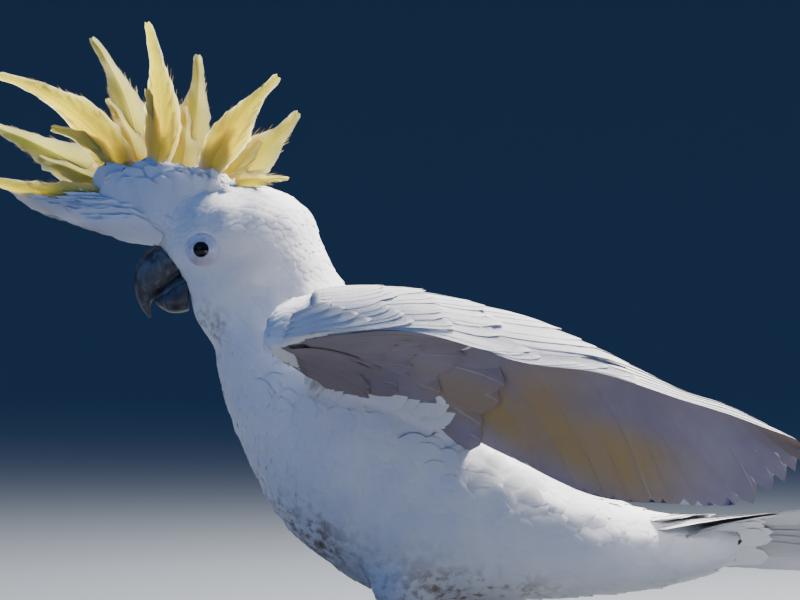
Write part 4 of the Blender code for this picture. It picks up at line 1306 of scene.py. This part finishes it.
# ---- legs --------------------------------------------------------------------------------------
def leg_paint():
    paint = Paint("leg_scales", (0.085, 0.080, 0.080), 0.6, Specular_IOR_Level=0.4)
    cells = paint.node("ShaderNodeTexVoronoi", {"feature": "DISTANCE_TO_EDGE"},
                       {"Vector": paint.place(), "Scale": 620.0}, output="Distance")
    plate = paint.ramp(cells, 0.02, 0.16)
    dust = paint.noise(160.0, 4.0)
    colour = paint.mix(plate, (0.16, 0.14, 0.13), (0.075, 0.072, 0.074))
    colour = paint.mix(paint.ramp(dust, 0.5, 0.75, 0.0, 0.5), colour, (0.24, 0.20, 0.17))
    paint.set("Base Color", colour)
    paint.bump(plate, 0.0005, 0.8)
    return paint


def add_legs():
    scales = leg_paint()
    dark = Paint("claw_horn", (0.030, 0.028, 0.028), 0.35, Specular_IOR_Level=0.5)
    dark.bump(dark.noise(500.0), 0.0003, 0.4)
    for side in ("left", "right"):
        leg = (f"foot_{side}", f"tarsus_{side}")
        dress(melted(f"leg_{side}", leg, 0.0002, 0.0006, 4), scales, "leg_scale", *leg)
        claws = [f"claw_{side}_{number}" for number in (1, 2, 3, 4)]
        dress(melted(f"claws_{side}", claws, 0.0002, 0.0003, 3), dark, "claw_horn", *claws)


# ---- floor, light and camera -------------------------------------------------------------------
FLOOR_FLAT = 7.5
FLOOR_CURVE = 2.6


def add_floor():
    """A round pale floor whose edge curves up far behind everything."""
    turns = 96
    radii = np.concatenate([[0.0], np.linspace(0.5, FLOOR_FLAT, 12), np.linspace(7.8, 10.4, 16)])
    angle = np.linspace(0, 2 * math.pi, turns, endpoint=False)
    rise = np.maximum(radii - FLOOR_FLAT, 0.0)
    curve = np.minimum(rise, FLOOR_CURVE)
    height = FLOOR_CURVE - np.sqrt(FLOOR_CURVE ** 2 - curve ** 2) + (rise - curve) * 3
    points = np.stack([np.outer(radii, np.cos(angle)), np.outer(radii, np.sin(angle)),
                       np.repeat(height[:, None], turns, axis=1)], axis=-1).reshape(-1, 3)
    floor = mesh_object("floor", points - SHIFT, ring_quads(turns, len(radii))[:, ::-1])
    pale = Paint("floor_pale", (0.205, 0.225, 0.25), 0.9, Specular_IOR_Level=0.1)
    floor.data.materials.append(pale.material)


def add_light(name, place, size, power, colour):
    """A round soft lamp that faces the bird's middle."""
    lamp = bpy.data.lights.new(name, "AREA")
    lamp.shape = "DISK"
    lamp.size = size
    lamp.energy = power
    lamp.color = colour
    light = placed(name, lamp)
    light.location = place
    aim = Vector((0.0, 0.0, 0.22)) - Vector(place)
    light.rotation_euler = aim.to_track_quat("-Z", "Y").to_euler()


def add_lights():
    add_light("sun", (0.80, 0.42, 1.46), 0.55, 146.0, (1.0, 0.95, 0.88))
    add_light("fill", (-1.6, -2.2, 1.2), 2.6, 16.0, (0.06, 0.26, 1.0))
    world = bpy.data.worlds.new("studio")
    world.use_nodes = True
    back = world.node_tree.nodes["Background"]
    back.inputs["Color"].default_value = (0.20, 0.45, 1.0, 1.0)
    back.inputs["Strength"].default_value = 0.31
    bpy.context.scene.world = world


def add_camera():
    lens = bpy.data.cameras.new("camera")
    lens.lens = 181.35
    lens.sensor_width = 36.0
    lens.clip_end = 30.0
    camera = placed("camera", lens)
    camera.location = Vector((-0.0129, -2.6, 0.24)) + Vector(SHIFT)
    camera.rotation_euler = (math.radians(90), 0, 0)
    bpy.context.scene.camera = camera


# ---- the bird ----------------------------------------------------------------------------------
def build():
    feather = plumage_paint()
    skin = flesh_skin()
    surface = SkinMap(skin)
    dress(skin, skin_paint(), "plumage", *FLESH)
    body_coat(surface, feather)
    flank_plumes(surface, feather)
    flight = remex_paint()
    add_wings(surface, flight)
    add_tail(surface, flight)
    tail_coverts(surface, feather)
    add_crest(surface)
    forehead_plumes(surface, feather)
    ruff(surface, feather)
    add_bill()
    add_eyes(surface)
    add_legs()
    add_floor()
    add_lights()
    add_camera()


build()
